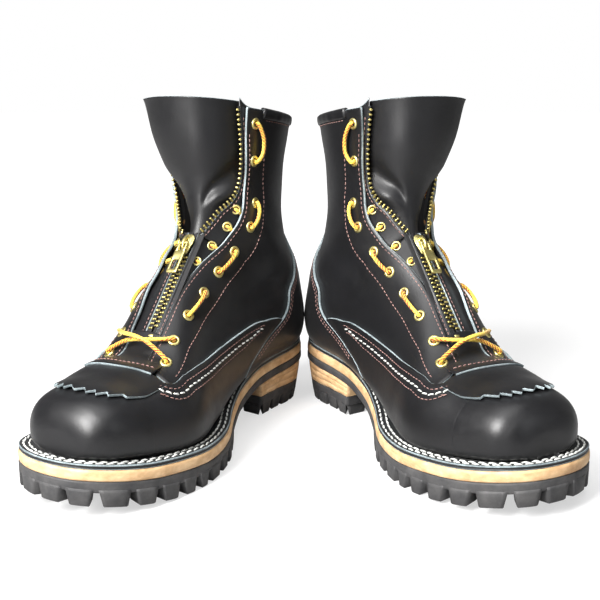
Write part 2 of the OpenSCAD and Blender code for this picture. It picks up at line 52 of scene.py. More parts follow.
# ---- dimensions shared with the CAD model, in millimetres and degrees ----
TOE_OUT = 29
HEEL_OFFSET = 18.5
PAIR_SHIFT = 132.3
LEATHER_T = 2.0
COVER_T = 1.7
INSERT_T = 1.5
GAP = 0.25
WELT_T = 3.5
MIDSOLE_T = 7.5
SHANK_LAYER_T = 6.5
HEEL_LUG_H = 17.0
LUG_NOTCH_H = 9.0
HEEL_BREAST = 82.0
HEEL_TAPER = 6.0
HEEL_CENTRE = np.array([4.0, 36.0])
FRINGE_TEETH = 9
KILTIE_HALF = 42
EYELET_R = 4.3
PANEL_EYELET_R = 3.7
EYELET_H = 0.9
PANEL_EYELET_H = 0.8
EYELET_HOLE_R = 2.2
LACE_D = 3.0
TOOTH_PITCH = 3.6
TOOTH_W = 3.7
CHAIN_SLIT = 1.5
TAB_L = 26.0
BAND_H = 8.0
SLIDER_Y = 2.0
PLATE_T = 1.2
PLATE_Z = 2.2
HINGE_Y = 1.0
HINGE_Z = PLATE_Z + PLATE_T + 2.4

# The last: ridge Y and Z, bottom Y and Z, outer and inner half widths, middle X, height of the
# widest point, upper and lower roundness, from the toe (row 0) to the top line (row 13)
LAST = np.array([
    [288.5, 40.6, 288.5, 37.1, 9, 9, -9, 0.45, 2.2, 2.2],
    [288, 54.6, 287, 36.1, 20, 20, -9, 0.4, 2.2, 2.6],
    [282, 65.5, 281, 34.4, 30, 30, -8.5, 0.32, 2.4, 3],
    [269, 72.1, 270, 31.6, 37.5, 38.5, -7.5, 0.28, 2.5, 3.4],
    [238, 74.2, 240, 26.7, 46.5, 49, -6, 0.24, 2.4, 3.6],
    [208, 81.3, 205, 24.2, 48.5, 51.5, -5, 0.24, 2.2, 4],
    [187.5, 99.2, 170, 25.2, 45.5, 44, -2.5, 0.25, 2.1, 4.2],
    [168, 119.2, 128, 31.5, 40.5, 37, 0.5, 0.3, 2.1, 4],
    [149, 138.6, 72, 42.9, 36.5, 35.5, 1.5, 0.36, 2.1, 3.8],
    [136, 159.2, 11, 47.6, 37, 37.5, 0.5, 0.42, 2.1, 2.8],
    [130.5, 181.1, 2, 90.4, 39, 35.5, 1.5, 0.48, 2.1, 2.2],
    [129, 203, 17, 133.8, 42, 30.5, 2.5, 0.49, 2.2, 2.2],
    [128, 225, 20, 178.9, 45, 31.5, 3, 0.5, 2.2, 2.2],
    [126, 247, 10, 229.6, 48, 34.5, 3, 0.5, 2.2, 2.2]])
TOP = len(LAST) - 1
OUTLINE = np.array([
    [0, 2], [20, 5], [32, 18], [36.5, 42], [37, 72], [39, 100], [44, 130], [50, 165], [53, 200],
    [52, 235], [46, 262], [34, 281], [14, 294], [-8, 298], [-28, 294], [-45, 280], [-57, 258],
    [-64, 228], [-65, 203], [-57, 172], [-42, 142], [-32, 115], [-28, 88], [-28.5, 62], [-30, 38],
    [-27, 17], [-17, 4]], float)
SOLE_TOP = [[-10, 48], [20, 46.4], [78, 41.6], [110, 34.5], [150, 26.1], [190, 22.8],
            [250, 26.5], [298, 34.4], [310, 36.3]]
NOTCHES = [6.6, 7.1, 7.55, 8, 8.45, 8.9, 9.4, 9.95, 10.5, 11.5, 12.5, 13.5, 14.5, 15.5, 16.2, 16.75,
           17.3, 17.85, 18.45, 18.95, 19.45, 19.95]
TREAD = [[121, 18], [131, 12.5], [142, 7], [152, 2], [162, 0], [222, 0], [240, 1], [262, 4],
         [285, 8], [310, 13]]
LUG_ROOT = [[121, 18.5], [131, 15], [142, 12], [152, 10], [165, LUG_NOTCH_H], [222, LUG_NOTCH_H],
            [240, 10], [262, 13], [285, 17], [310, 22]]
QUARTER_FRONT = [[4.6, 30], [4.8, 15], [5.1, 12], [5.6, 14], [7.4, 22], [9.1, 38], [10, 52],
                 [11.4, 68], [12.9, 63]]
COUNTER_EDGE = [[7.35, 141], [7.55, 128], [8.1, 115], [8.55, 105], [9.05, 98], [9.3, 98],
                [9.7, 109], [10.2, 122], [10.9, 148], [11.25, 164], [11.45, 172], [12.4, 172]]
ARCH_TOP = [[3.5, 30], [4.4, 34], [4.65, 44], [5.1, 46], [6.1, 61], [7, 74], [7.9, 84.5], [8.35, 91],
            [8.58, 98], [8.66, 104]]
TONGUE_MEDIAL = [[5, -14], [8.2, -17], [9, -24], [10, -44], [11.3, -70], [13, -60]]
TONGUE_LATERAL = [[5, 14], [8.6, 10], [9.6, 22], [10.4, 35], [11.2, 43], [12, 47], [13, 49]]
TONGUE_DEPTH = [[5, -10], [9.2, -10], [10, -8.5], [13, -7]]
TONGUE_LEAN = [[10, 0], [10.6, 3], [11.2, 9], [12, 15], [13, 22]]
FLAP_MEDIAL = [[8.9, -14], [9.3, -22], [9.8, -32], [10.3, -45], [10.9, -59], [11.5, -64.5],
               [12.2, -62.5], [13, -54]]
FLAP_LATERAL = [[8.9, 14], [9.3, 24], [9.8, 35], [10.3, 43], [10.9, 48], [11.5, 50], [12.2, 50],
                [13, 51]]
FLAP_DEPTH = -3
EYELETS = [[5.1, 27], [5.8, 28], [6.7, 35.5], [7.5, 41], [8.2, 43], [8.95, 46], [9.9, 60],
           [10.8, 75], [11.85, 77], [12.6, 74]]
PANEL_ROWS = [8.1, 8.75, 9.5, 10.15]
PANEL_INSET = 4.5


# ---- curves and vectors ----
def unit(v):
    return v / np.maximum(np.linalg.norm(v, axis=-1, keepdims=True), 1e-12)


def mix(a, b, u):
    return a + (b - a) * u


def smooth(u):
    u = np.clip(u, 0, 1)
    return u * u * (3 - 2 * u)


def blend4(a, b, c, d, u):
    return 0.5 * (2 * b + (c - a) * u + (2 * a - 5 * b + 4 * c - d) * u ** 2
                  + (3 * b - a - 3 * c + d) * u ** 3)


def along(rows, s):
    """Points at s on a smooth open curve through the rows."""
    k = np.asarray(rows, float)
    n = len(k) - 1
    q = np.clip(s, 0, n - 1e-4)
    i = np.floor(q).astype(int)
    u = (q - i)[..., None]
    return blend4(k[np.maximum(i - 1, 0)], k[i], k[i + 1], k[np.minimum(i + 2, n)], u)


def round_loop(rows, s):
    """Points at s on a smooth closed curve through the rows."""
    n = len(rows)
    q = np.mod(s, n)
    i = np.floor(q).astype(int) % n
    u = (q - i)[..., None]
    return blend4(rows[(i - 1) % n], rows[i], rows[(i + 1) % n], rows[(i + 2) % n], u)


def value(table, x):
    """Smooth value at x of a table of [x, value]."""
    k = np.asarray(table, float)
    n = len(k) - 1
    q = np.clip(np.asarray(x, float), k[0, 0], k[n, 0])
    i = np.clip(np.searchsorted(k[:, 0], q, side="right") - 1, 0, n - 1)
    a, b = np.maximum(np.arange(n + 1) - 1, 0), np.minimum(np.arange(n + 1) + 1, n)
    slope = (k[b, 1] - k[a, 1]) / (k[b, 0] - k[a, 0])
    h = k[i + 1, 0] - k[i, 0]
    u = (q - k[i, 0]) / h
    return (k[i, 1] * (1 - u) ** 2 * (1 + 2 * u) + slope[i] * h * u * (1 - u) ** 2
            + k[i + 1, 1] * u * u * (3 - 2 * u) - slope[i + 1] * h * u * u * (1 - u))


def lookup(table, x):
    k = np.asarray(table, float)
    return np.interp(x, k[:, 0], k[:, 1])


def distances(points):
    """Distance along a polyline to each of its points."""
    return np.concatenate([[0], np.cumsum(np.linalg.norm(np.diff(points, axis=0), axis=1))])


def resample(points, step):
    """The polyline's points again, evenly about step apart."""
    lengths = distances(points)
    s = np.linspace(0, lengths[-1], max(2, int(round(lengths[-1] / step)) + 1))
    return np.stack([np.interp(s, lengths, points[:, k]) for k in range(points.shape[1])], 1)


# ---- the last's skin ----
def swell(c, e):
    return np.sign(c) * np.abs(c) ** (2 / e)


def last_at(t, p):
    t, p = np.broadcast_arrays(np.asarray(t, float), np.asarray(p, float))
    r = np.moveaxis(along(LAST, t), -1, 0)
    below = np.cos(np.radians(p)) < 0
    e = np.where(below, r[9], r[8])
    low = 90 + 90 * (np.abs(90 - np.abs(180 - np.abs(p))) / 90) ** (e / 2)
    a = np.radians(np.where(below, low, p))
    k = swell(np.cos(a), e)
    s = np.sign(np.sin(np.radians(p))) * swell(np.abs(np.sin(a)), e)
    h = np.where(below, r[7] + r[7] * k, r[7] + (1 - r[7]) * k)
    return np.stack([r[6] + np.where(s >= 0, r[4], r[5]) * s, mix(r[2], r[0], h), mix(r[3], r[1], h)], -1)


def normal_at(t, p):
    t, p = np.broadcast_arrays(np.asarray(t, float), np.asarray(p, float))
    row, turn = 0.06, 2
    along_t = last_at(np.minimum(TOP, t + row), p) - last_at(np.maximum(0, t - row), p)
    return unit(np.cross(along_t, last_at(t, p + turn) - last_at(t, p - turn)))


def relief(q):
    """Unevenness of the worked leather at points on the last, shared by all that lies there."""
    x, y, z = q[..., 0], q[..., 1], q[..., 2]
    soft = 0.25 * np.sin(x / 11 + z / 17) * np.sin(y / 13 - z / 9 + 1.3)
    soft = soft + 0.14 * np.sin(x / 6.1 - y / 7.7 + z / 8.3)
    ankle = smooth((z - 88) / 20) * smooth((160 - z) / 30) * smooth((y - 25) / 25) * smooth((125 - y) / 25)
    folds = np.sin((z + 0.35 * y + 5 * np.sin(y / 19)) / 5.2)
    calm = smooth((z - 60) / 15)
    return soft * mix(0.35, 1, calm) + 0.45 * ankle * folds


def skin(t, p, d):
    """Points at height d over the last, with the leather's unevenness."""
    q = last_at(t, p)
    return q + (np.asarray(d, float) + relief(q))[..., None] * normal_at(t, p)


def bare_skin(t, p, d):
    return last_at(t, p) + np.asarray(d, float)[..., None] * normal_at(t, p)


def one(*numbers):
    """Each number as an array of one."""
    return [np.array([x]) for x in numbers]


def halved(lo, hi, short):
    """Bounds of the place between lo and hi where short() stops being true, halved again and again."""
    for _ in range(18):
        m = (lo + hi) / 2
        more = short(m)
        lo, hi = np.where(more, m, lo), np.where(more, hi, m)
    return lo, hi


def sole_top(y):
    return value(SOLE_TOP, y)


def foot(t, rise=0.6):
    """Angle at which section t meets the welt."""
    t = np.asarray(t, float)

    def above(angle):
        q = last_at(t, angle)
        return q[..., 2] > sole_top(q[..., 1]) + WELT_T + rise
    lo, hi = halved(np.full(t.shape, 90.0), np.full(t.shape, 180.0), above)
    return np.where(hi > 179.5, 180.0, lo)


def quarter_front(t):
    return value(QUARTER_FRONT, t)


def shifted(t, p, dist):
    """The curve through rows t and angles p, moved sideways over the last by dist: the step is
    split into rows and angles by how far one of each moves a point."""
    q = last_at(t, p)
    side = np.cross(normal_at(t, p), unit(np.gradient(q, axis=0))) * np.asarray(dist)[..., None]
    row = 0.05
    after = np.minimum(t + row, TOP)
    jt = (last_at(after, p) - last_at(t - row, p)) / (after - t + row)[:, None]
    jp = (last_at(t, p + 1) - last_at(t, p - 1)) / 2
    a, b, c = (jt * jt).sum(-1), (jt * jp).sum(-1), (jp * jp).sum(-1)
    r, s = (side * jt).sum(-1), (side * jp).sum(-1)
    det = np.maximum(a * c - b * b, 1e-9)
    return np.clip(t + (r * c - s * b) / det, 0, TOP), p + (s * a - r * b) / det


# ---- shapes: points, faces, material numbers and UVs gathered for one object ----
class Shape:
    def __init__(self):
        self.points, self.faces, self.mats, self.uvs, self.count = [], [], [], [], 0

    def add(self, points, faces, mats=0, uv=None):
        """Adds a closed solid; its faces are turned outwards."""
        points = np.asarray(points, float).reshape(-1, 3)
        centre = points.mean(0)
        volume = 0.0
        for f in faces:
            a = points[f[0]] - centre
            b = points[f[1]] - centre
            c = points[f[2]] - centre
            volume += a @ np.cross(b, c)
            if len(f) == 4:
                d = points[f[3]] - centre
                volume += a @ np.cross(c, d)
        self._store(points, faces if volume >= 0 else [f[::-1] for f in faces], mats, uv)

    def _store(self, points, faces, mats, uv):
        self.points.append(points)
        self.faces.extend([[i + self.count for i in f] for f in faces])
        self.mats.extend([mats] * len(faces) if np.isscalar(mats) else list(mats))
        self.uvs.append(np.zeros((len(points), 2)) if uv is None else np.asarray(uv, float).reshape(-1, 2))
        self.count += len(points)

    def add_many(self, template, faces, frames, mats=0):
        """Copies of a small closed solid: frames are (origin, x, y, z) arrays of n rows."""
        o, x, y, z = frames
        points = (o[:, None] + template[None, :, 0:1] * x[:, None] + template[None, :, 1:2] * y[:, None]
                  + template[None, :, 2:3] * z[:, None])
        turned = np.einsum("ij,ij->i", np.cross(x, y), z) < 0
        for k in range(len(o)):
            self._store(points[k], [f[::-1] for f in faces] if turned[k] else faces, mats, None)


def link(obj):
    bpy.context.scene.collection.objects.link(obj)


def place(points, side):
    a = math.radians(180 - TOE_OUT)
    x = math.cos(a) * points[..., 0] - math.sin(a) * points[..., 1] - HEEL_OFFSET
    y = math.sin(a) * points[..., 0] + math.cos(a) * points[..., 1] + PAIR_SHIFT
    return np.stack([side * x, y, points[..., 2]], -1) * MM


def add_piece(name, shape, materials, body="boot", stands_for=()):
    """The shape as one object on each boot, riding on that boot's body."""
    points = np.concatenate(shape.points)
    uvs = np.concatenate(shape.uvs)
    for side_name, side in SIDES.items():
        mesh = bpy.data.meshes.new(f"{side_name}_{name}")
        faces = shape.faces if side > 0 else [f[::-1] for f in shape.faces]
        mesh.from_pydata(place(points, side).tolist(), [], faces)
        for m in materials:
            mesh.materials.append(m)
        mesh.polygons.foreach_set("material_index", shape.mats)
        mesh.polygons.foreach_set("use_smooth", [True] * len(faces))
        loops = np.zeros(len(mesh.loops), int)
        mesh.loops.foreach_get("vertex_index", loops)
        layer = mesh.uv_layers.new(name="UVMap")
        layer.data.foreach_set("uv", uvs[loops].ravel())
        mesh.update()
        piece = bpy.data.objects.new(f"{side_name}_{name}_look", mesh)
        link(piece)
        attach(piece, f"{side_name}_{body}")
        if stands_for:
            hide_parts(*[f"{side_name}_{n}" for n in stands_for])


def add_sheet(shape, outer, inner, cut="brtl", rim=0.4, face=0, edge=1, back=0, uv=None):
    """Leather between two grids with rounded edges. cut names the raw edges: b is row 0,
    r the last column, t the last row, l column 0; the others keep the face's finish."""
    nr, nc = outer.shape[:2]
    n = nr * nc
    index = np.arange(n).reshape(nr, nc)
    quads = np.stack([index[:-1, :-1], index[:-1, 1:], index[1:, 1:], index[1:, :-1]], -1).reshape(-1, 4)
    loop = ([(0, j, "b") for j in range(nc - 1)] + [(i, nc - 1, "r") for i in range(nr - 1)]
            + [(nr - 1, j, "t") for j in range(nc - 1, 0, -1)] + [(i, 0, "l") for i in range(nr - 1, 0, -1)])
    rows = np.array([q[0] for q in loop])
    cols = np.array([q[1] for q in loop])
    inward = np.stack([np.clip(rows, 1, nr - 2), np.clip(cols, 1, nc - 2)], 1)
    top, low = outer[rows, cols], inner[rows, cols]
    up = unit(top - low)
    out = top - outer[inward[:, 0], inward[:, 1]]
    out = unit(out - (out * up).sum(-1, keepdims=True) * up)
    middle, half = (top + low) / 2, np.linalg.norm(top - low, axis=1, keepdims=True) / 2
    rings = [middle + half * math.cos(a) * up + rim * math.sin(a) * out
             for a in (math.radians(45), math.radians(90), math.radians(135))]
    points = np.concatenate([outer.reshape(-1, 3), inner.reshape(-1, 3)] + rings)
    faces = quads.tolist() + (quads[:, ::-1] + n).tolist()
    mats = [face] * len(quads) + [back] * len(quads)
    m = len(loop)
    starts = [index[rows, cols]] + [2 * n + k * m + np.arange(m) for k in range(3)] + [index[rows, cols] + n]
    for a, b in zip(starts[:-1], starts[1:]):
        for k in range(m):
            k2 = (k + 1) % m
            faces.append([int(a[k2]), int(a[k]), int(b[k]), int(b[k2])])
            mats.append(edge if loop[k][2] in cut else face)
    if uv is None:
        du = distances(outer[:, nc // 2])
        dv = distances(outer[nr // 2])
        uv = np.stack(np.meshgrid(du, dv, indexing="ij"), -1)
    flat_uv = uv.reshape(-1, 2)
    ring_uv = flat_uv[index[rows, cols]]
    shape.add(points, faces, mats, np.concatenate([flat_uv, flat_uv] + [ring_uv] * 3))


def leather(shape, rule, nu, nv, d0, d1, drop=0.0, raised=None, **options):
    """Leather from height d0 to d1 over the last; rule(u, v) gives rows, angles and lift. The
    first row hangs down by drop, and row t of the last is raised by raised(t)."""
    u, v = np.meshgrid(np.linspace(0, 1, nu + 1), np.linspace(0, 1, nv + 1), indexing="ij")
    t, p, lift = rule(u, v)
    outer, inner = skin(t, p, lift + d1), skin(t, p, lift + d0)
    outer[0, :, 2] -= drop
    inner[0, :, 2] -= drop
    if raised:
        outer[..., 2] += raised(t)
        inner[..., 2] += raised(t)
    add_sheet(shape, outer, inner, **options)


def swept(points, profile_radii, sides):
    """Rings of a tube through the points, turning as little as they can."""
    tangent = unit(np.gradient(points, axis=0))
    a = np.zeros_like(points)
    start = np.array([0, 0, 1.0]) if abs(tangent[0, 2]) < 0.9 else np.array([1.0, 0, 0])
    a[0] = unit(np.cross(tangent[0], start))
    for i in range(1, len(points)):
        v = a[i - 1] - tangent[i] * (a[i - 1] @ tangent[i])
        a[i] = v / np.linalg.norm(v)
    b = np.cross(tangent, a)
    angle = np.arange(sides) * 2 * math.pi / sides
    radii = np.broadcast_to(profile_radii, (len(points), sides))
    return points[:, None] + radii[..., None] * (np.cos(angle)[None, :, None] * a[:, None]
                                                 + np.sin(angle)[None, :, None] * b[:, None])


def add_tube(shape, points, radii, sides):
    """Closed tube with UVs: u along it in millimetres, v round it from 0 to 1."""
    rings = swept(points, radii, sides)
    n = len(points)
    index = np.arange(n * sides).reshape(n, sides)
    nxt = np.roll(index, -1, axis=1)
    faces = np.stack([index[:-1], nxt[:-1], nxt[1:], index[1:]], -1).reshape(-1, 4).tolist()
    faces += [index[0][::-1].tolist(), index[-1].tolist()]
    length = distances(points)
    uv = np.stack(np.meshgrid(length, np.arange(sides) / sides, indexing="ij"), -1)
    shape.add(rings.reshape(-1, 3), faces, uv=uv)


def add_loft(shape, loops):
    """Solid through closed loops of equal count. The caps are strips between mirrored points."""
    n = len(loops[0])
    faces = bands(n, len(loops))
    last = (len(loops) - 1) * n
    for i in range(1, n // 2 - 1):
        faces.append([i + 1, i, n - i, n - i - 1])
        faces.append([last + i, last + i + 1, last + n - i - 1, last + n - i])
    faces += [[1, 0, n - 1], [n // 2 - 1 + last, n // 2 + last, n // 2 + 1 + last],
              [last, last + 1, last + n - 1], [n // 2, n // 2 - 1, n // 2 + 1]]
    shape.add(np.concatenate(loops), faces)


def add_ring_loft(shape, loops, mats):
    """Closed ring whose section is a polygon, with a material for each of the section's sides."""
    n = len(loops[0])
    kinds = [m for m in mats for _ in range(n)]
    shape.add(np.concatenate(loops), bands(n, len(loops), closed=True), kinds)


def bands(n, count, closed=False):
    """Faces between each of count loops of n points and the next."""
    return [[k * n + i, k * n + (i + 1) % n, (k + 1) % count * n + (i + 1) % n, (k + 1) % count * n + i]
            for k in range(count if closed else count - 1) for i in range(n)]


def caps(n, count):
    """Faces that close the first and the last of count loops of n points."""
    return [list(range(n))[::-1], list(range((count - 1) * n, count * n))]


# ---- stitches ----
def stitch_template():
    """A stitch of length 1 along X and radius 1, with its ends drawn into the leather."""
    rings = [(-0.5, 0.5, -0.9), (-0.4, 0.9, -0.1), (-0.16, 1, 0.3), (0.16, 1, 0.3), (0.4, 0.9, -0.1),
             (0.5, 0.5, -0.9)]
    sides = 6
    angle = np.arange(sides) * 2 * math.pi / sides
    points = np.array([[x, r * math.cos(a), h + r * math.sin(a)] for x, r, h in rings for a in angle])
    return points, bands(sides, len(rings)) + caps(sides, len(rings))


STITCH, STITCH_FACES = stitch_template()


def add_stitches(shape, points, normals, length=2.5, space=1.0, radius=0.33, slant=0.0, mat=0):
    """Stitches along a line on a surface."""
    fine = resample(np.concatenate([points, normals], 1), 0.5)
    total = distances(fine[:, :3])
    count = int(total[-1] // (length + space))
    if count < 1:
        return
    centres = (np.arange(count) + 0.5) * total[-1] / count
    at = lambda s: np.stack([np.interp(s, total, fine[:, k]) for k in range(6)], 1)
    here, before, after = at(centres), at(centres - length / 2), at(centres + length / 2)
    z = unit(here[:, 3:])
    x = after[:, :3] - before[:, :3]
    x = unit(x - (x * z).sum(-1, keepdims=True) * z)
    y = np.cross(z, x)
    turn = math.radians(slant)
    x, y = x * math.cos(turn) + y * math.sin(turn), y * math.cos(turn) - x * math.sin(turn)
    shape.add_many(STITCH, STITCH_FACES, (here[:, :3], x * length, y * radius, z * radius), mat)


def sewn(shape, t, p, height, **options):
    """Stitches over the last along rows t and angles p, at a height above it."""
    add_stitches(shape, skin(t, p, height), normal_at(t, p), **options)


# ---- materials ----
class Look:
    """A material and its shader, with short calls for the nodes that all the materials use."""

    def __init__(self, name):
        self.material = bpy.data.materials.new(name)
        self.material.use_nodes = True
        self.nodes, self.links = self.material.node_tree.nodes, self.material.node_tree.links
        self.nodes.clear()
        out = self.nodes.new("ShaderNodeOutputMaterial")
        self.shader = self.nodes.new("ShaderNodeBsdfPrincipled")
        self.links.new(self.shader.outputs[0], out.inputs[0])

    def node(self, kind, **inputs):
        n = self.nodes.new("ShaderNode" + kind)
        for key, value in inputs.items():
            self.give(n.inputs[key.replace("_", " ")], value)
        return n

    def give(self, socket, value):
        """Link the socket if the value is another node's output, or else set it."""
        if isinstance(value, bpy.types.NodeSocket):
            self.links.new(value, socket)
        else:
            socket.default_value = value

    def shade(self, **inputs):
        for key, value in inputs.items():
            self.give(self.shader.inputs[key.replace("_", " ")], value)

    def coords(self):
        return self.node("TexCoord").outputs["Object"]

    def noise(self, at, scale, detail, roughness=0.5):
        return self.node("TexNoise", Vector=at, Scale=scale, Detail=detail, Roughness=roughness).outputs[0]

    def stretched(self, scale):
        return self.node("Mapping", Vector=self.coords(), Scale=scale).outputs[0]

    def ramp(self, source, stops):
        ramp = self.node("ValToRGB", Fac=source)
        while len(ramp.color_ramp.elements) < len(stops):
            ramp.color_ramp.elements.new(0.5)
        for element, (position, colour) in zip(ramp.color_ramp.elements, stops):
            element.position = position
            element.color = (*colour, 1)
        return ramp.outputs[0]

    def relief(self, *layers):
        """Bumps one over the other, each of a height, a strength and a distance."""
        normal = None
        for height, strength, distance in layers:
            bump = self.node("Bump", Height=height, Strength=strength, Distance=distance)
            if normal:
                self.links.new(normal, bump.inputs["Normal"])
            normal = bump.outputs[0]
        self.shade(Normal=normal)

    def math(self, kind, *values):
        n = self.node("Math")
        n.operation = kind
        for socket, value in zip(n.inputs, values):
            self.give(socket, value)
        return n.outputs[0]

    def mix(self, kind, amount, a, b):
        n = self.node("MixRGB", Fac=amount)
        n.blend_type = kind
        self.give(n.inputs[1], a)
        self.give(n.inputs[2], b)
        return n.outputs[0]


def grey(v):
    return (v, v, v)


def leather_material(name, colour, shine, grain=1.0):
    """Smooth dyed leather: fine pebble, pores, soft mottling and duller patches."""
    look = Look(name)
    at = look.coords()
    pebble = look.node("TexVoronoi", Vector=at, Scale=1150.0)
    pebble.feature = "SMOOTH_F1"
    mottle = look.noise(at, 38.0, 5.0, 0.6)
    pores = look.noise(at, 2100.0, 3.0, 0.6)
    drawn = look.noise(at, 160.0, 6.0, 0.65)
    darker, lighter = (tuple(c * k for c in colour) for k in (0.75, 1.3))
    tint = look.ramp(mottle, [(0.3, darker), (0.7, lighter)])
    dull = look.ramp(drawn, [(0.35, grey(shine)), (0.75, grey(min(1, shine + 0.16 * 0.5)))])
    look.relief((drawn, 0.22 * grain, 0.00025), (pebble.outputs["Distance"], 0.28 * grain, 0.00012),
                (pores, 0.2 * grain, 0.00006))
    look.shade(Base_Color=tint, Roughness=dull, Specular_IOR_Level=0.5)
    look.shade(Sheen_Weight=0.06, Sheen_Roughness=0.45)
    return look.material


def fibre_material(name, dark, light, scale=900.0, rough=0.75):
    """Raw leather edges, board, felt and thread: short fibres over a mottled tint."""
    look = Look(name)
    at = look.stretched((1, 1, 1))
    fibres = look.noise(at, scale, 5.0, 0.7)
    patches = look.noise(at, scale / 14, 3.0)
    tint = look.ramp(look.math("MULTIPLY", fibres, patches), [(0.12, dark), (0.38, light)])
    look.relief((fibres, 0.35, 0.0003))
    look.shade(Base_Color=tint, Roughness=rough)
    return look.material


def stack_material():
    """Edge of stacked sole leather: close layers, pores and darker, sanded patches."""
    look = Look("natural_leather")
    at = look.coords()
    layers = look.noise(look.stretched((1, 1, 2.2)), 95.0, 6.0, 0.62)
    patches = look.noise(at, 60.0, 4.0, 0.6)
    pores = look.noise(at, 1300.0, 3.0, 0.7)
    tint = look.ramp(layers, [(0.28, (0.50, 0.29, 0.14)), (0.45, (0.68, 0.43, 0.22)),
                              (0.68, (0.82, 0.57, 0.32))])
    stain = look.ramp(patches, [(0.30, (0.62, 0.52, 0.44)), (0.52, (1.0, 1.0, 1.0))])
    look.relief((layers, 0.35, 0.0003), (pores, 0.25, 0.0001))
    look.shade(Base_Color=look.mix("MULTIPLY", 0.7, tint, stain), Roughness=0.52)
    return look.material


def rubber_material():
    """Moulded rubber: matte, faintly dusty, with a fine mould texture."""
    look = Look("lug_rubber")
    at = look.coords()
    dust = look.noise(at, 70.0, 6.0, 0.7)
    grain = look.noise(at, 1500.0, 3.0)
    tint = look.ramp(dust, [(0.35, (0.035, 0.035, 0.037)), (0.72, (0.085, 0.083, 0.083))])
    look.relief((grain, 0.25, 0.0002))
    look.shade(Base_Color=tint, Roughness=0.62, Specular_IOR_Level=0.42)
    return look.material


def metal_material(name, colour, dark, rough=0.24, scale=260.0):
    """Tumbled metal with faint scratches and tarnish."""
    look = Look(name)
    at = look.coords()
    tarnish = look.noise(at, scale, 5.0, 0.65)
    scratch = look.noise(at, 2400.0, 2.0)
    tint = look.ramp(tarnish, [(0.32, dark), (0.62, colour)])
    polish = look.ramp(tarnish, [(0.3, grey(rough + 0.14)), (0.7, grey(rough))])
    look.relief((scratch, 0.12, 0.00008))
    look.shade(Base_Color=tint, Roughness=polish, Metallic=1.0)
    return look.material


def lace_material():
    """Round braid: slanting strands of yellow with flecks of rust, from the tube's UVs."""
    look = Look("lace_fabric")
    uv = look.node("UVMap")
    uv.uv_map = "UVMap"
    split = look.node("SeparateXYZ", Vector=uv.outputs[0])
    turn = 2 * math.pi
    length, angle = split.outputs["X"], split.outputs["Y"]

    def strands(turns, pitch, sharp):
        """1 on a strand that winds round the braid, falling to 0 between strands."""
        u = look.math("MULTIPLY", length, turn / pitch)
        v = look.math("MULTIPLY", angle, turn * turns)
        wave = look.math("SINE", look.math("ADD", u, v))
        return look.math("POWER", look.math("MULTIPLY_ADD", wave, 0.5), sharp)

    yellow = (0.84, 0.53, 0.035)
    pale = (0.90, 0.65, 0.10)
    rust = (0.45, 0.05, 0.012)
    right_hand = strands(4, 2.6, 1.0)
    left_hand = strands(-4, 2.6, 1.0)
    weave = look.math("MAXIMUM", right_hand, left_hand)
    band = look.math("SINE", look.math("ADD", look.math("MULTIPLY", angle, turn),
                                       look.math("MULTIPLY", length, turn / 46)))
    flecks = look.math("MULTIPLY", look.math("GREATER_THAN", right_hand, 0.45),
                       look.math("GREATER_THAN", band, 0.0))
    base = look.ramp(weave, [(0.35, yellow), (0.95, pale)])
    look.relief((weave, 0.5, 0.0003))
    look.shade(Base_Color=look.mix("MIX", flecks, base, (*rust, 1)), Roughness=0.6, Sheen_Weight=0.25)
    return look.material


BLACK = leather_material("black_leather", (0.0055, 0.0055, 0.0065), 0.36)
LINING = leather_material("leather_lining", (0.02, 0.019, 0.019), 0.62, grain=1.6)
TONGUE = leather_material("tongue_leather", (0.0045, 0.0045, 0.0055), 0.42, grain=0.9)
WELT = leather_material("welt_leather", (0.007, 0.008, 0.009), 0.42, grain=1.3)
CUT_EDGE = fibre_material("cut_edge", (0.10, 0.13, 0.14), (0.40, 0.47, 0.49), scale=700)
WELT_EDGE = fibre_material("welt_edge", (0.08, 0.10, 0.11), (0.32, 0.38, 0.40), scale=600)
NATURAL = stack_material()
BOARD = fibre_material("stiffener_board", (0.30, 0.2, 0.11), (0.5, 0.36, 0.22), scale=600)
RUBBER = rubber_material()
BRASS = metal_material("brass", (0.86, 0.77, 0.34), (0.60, 0.50, 0.18), rough=0.36)
TEETH_BRASS = metal_material("teeth_brass", (0.78, 0.67, 0.27), (0.40, 0.32, 0.10), rough=0.3, scale=420)
STEEL = metal_material("steel", (0.62, 0.62, 0.64), (0.42, 0.42, 0.43))
LACE = lace_material()
BROWN_THREAD = fibre_material("brown_thread", (0.17, 0.085, 0.075), (0.42, 0.25, 0.22), scale=2400, rough=0.6)
WHITE_THREAD = fibre_material("white_thread", (0.42, 0.43, 0.40), (0.86, 0.87, 0.83), scale=1800, rough=0.6)
TAPE = fibre_material("zip_tape", (0.006, 0.006, 0.007), (0.02, 0.02, 0.022), scale=1600, rough=0.8)
# Near-black painted shade that fills the eyelet holes.
HOLE_SHADE = fibre_material("eyelet_shadow", (0.003, 0.003, 0.003), (0.006, 0.006, 0.006), scale=500, rough=0.9)


# ---- sole ----
EDGE_POINTS = 8 * len(OUTLINE)
EDGE_S = np.arange(EDGE_POINTS) / 8


def edge_at(s):
    return round_loop(OUTLINE, np.asarray(s, float))


def edge_out(s):
    d = unit(edge_at(np.asarray(s) + 0.05) - edge_at(np.asarray(s) - 0.05))
    return np.stack([d[..., 1], -d[..., 0]], -1)


def outline_loop(inset, height):
    """The sole's outline drawn in by inset, at a height given by a function of Y."""
    q = edge_at(EDGE_S) - inset * edge_out(EDGE_S)
    return np.concatenate([q, height(q[:, 1])[:, None]], 1)


def over_top(d):
    return lambda y: sole_top(y) + d


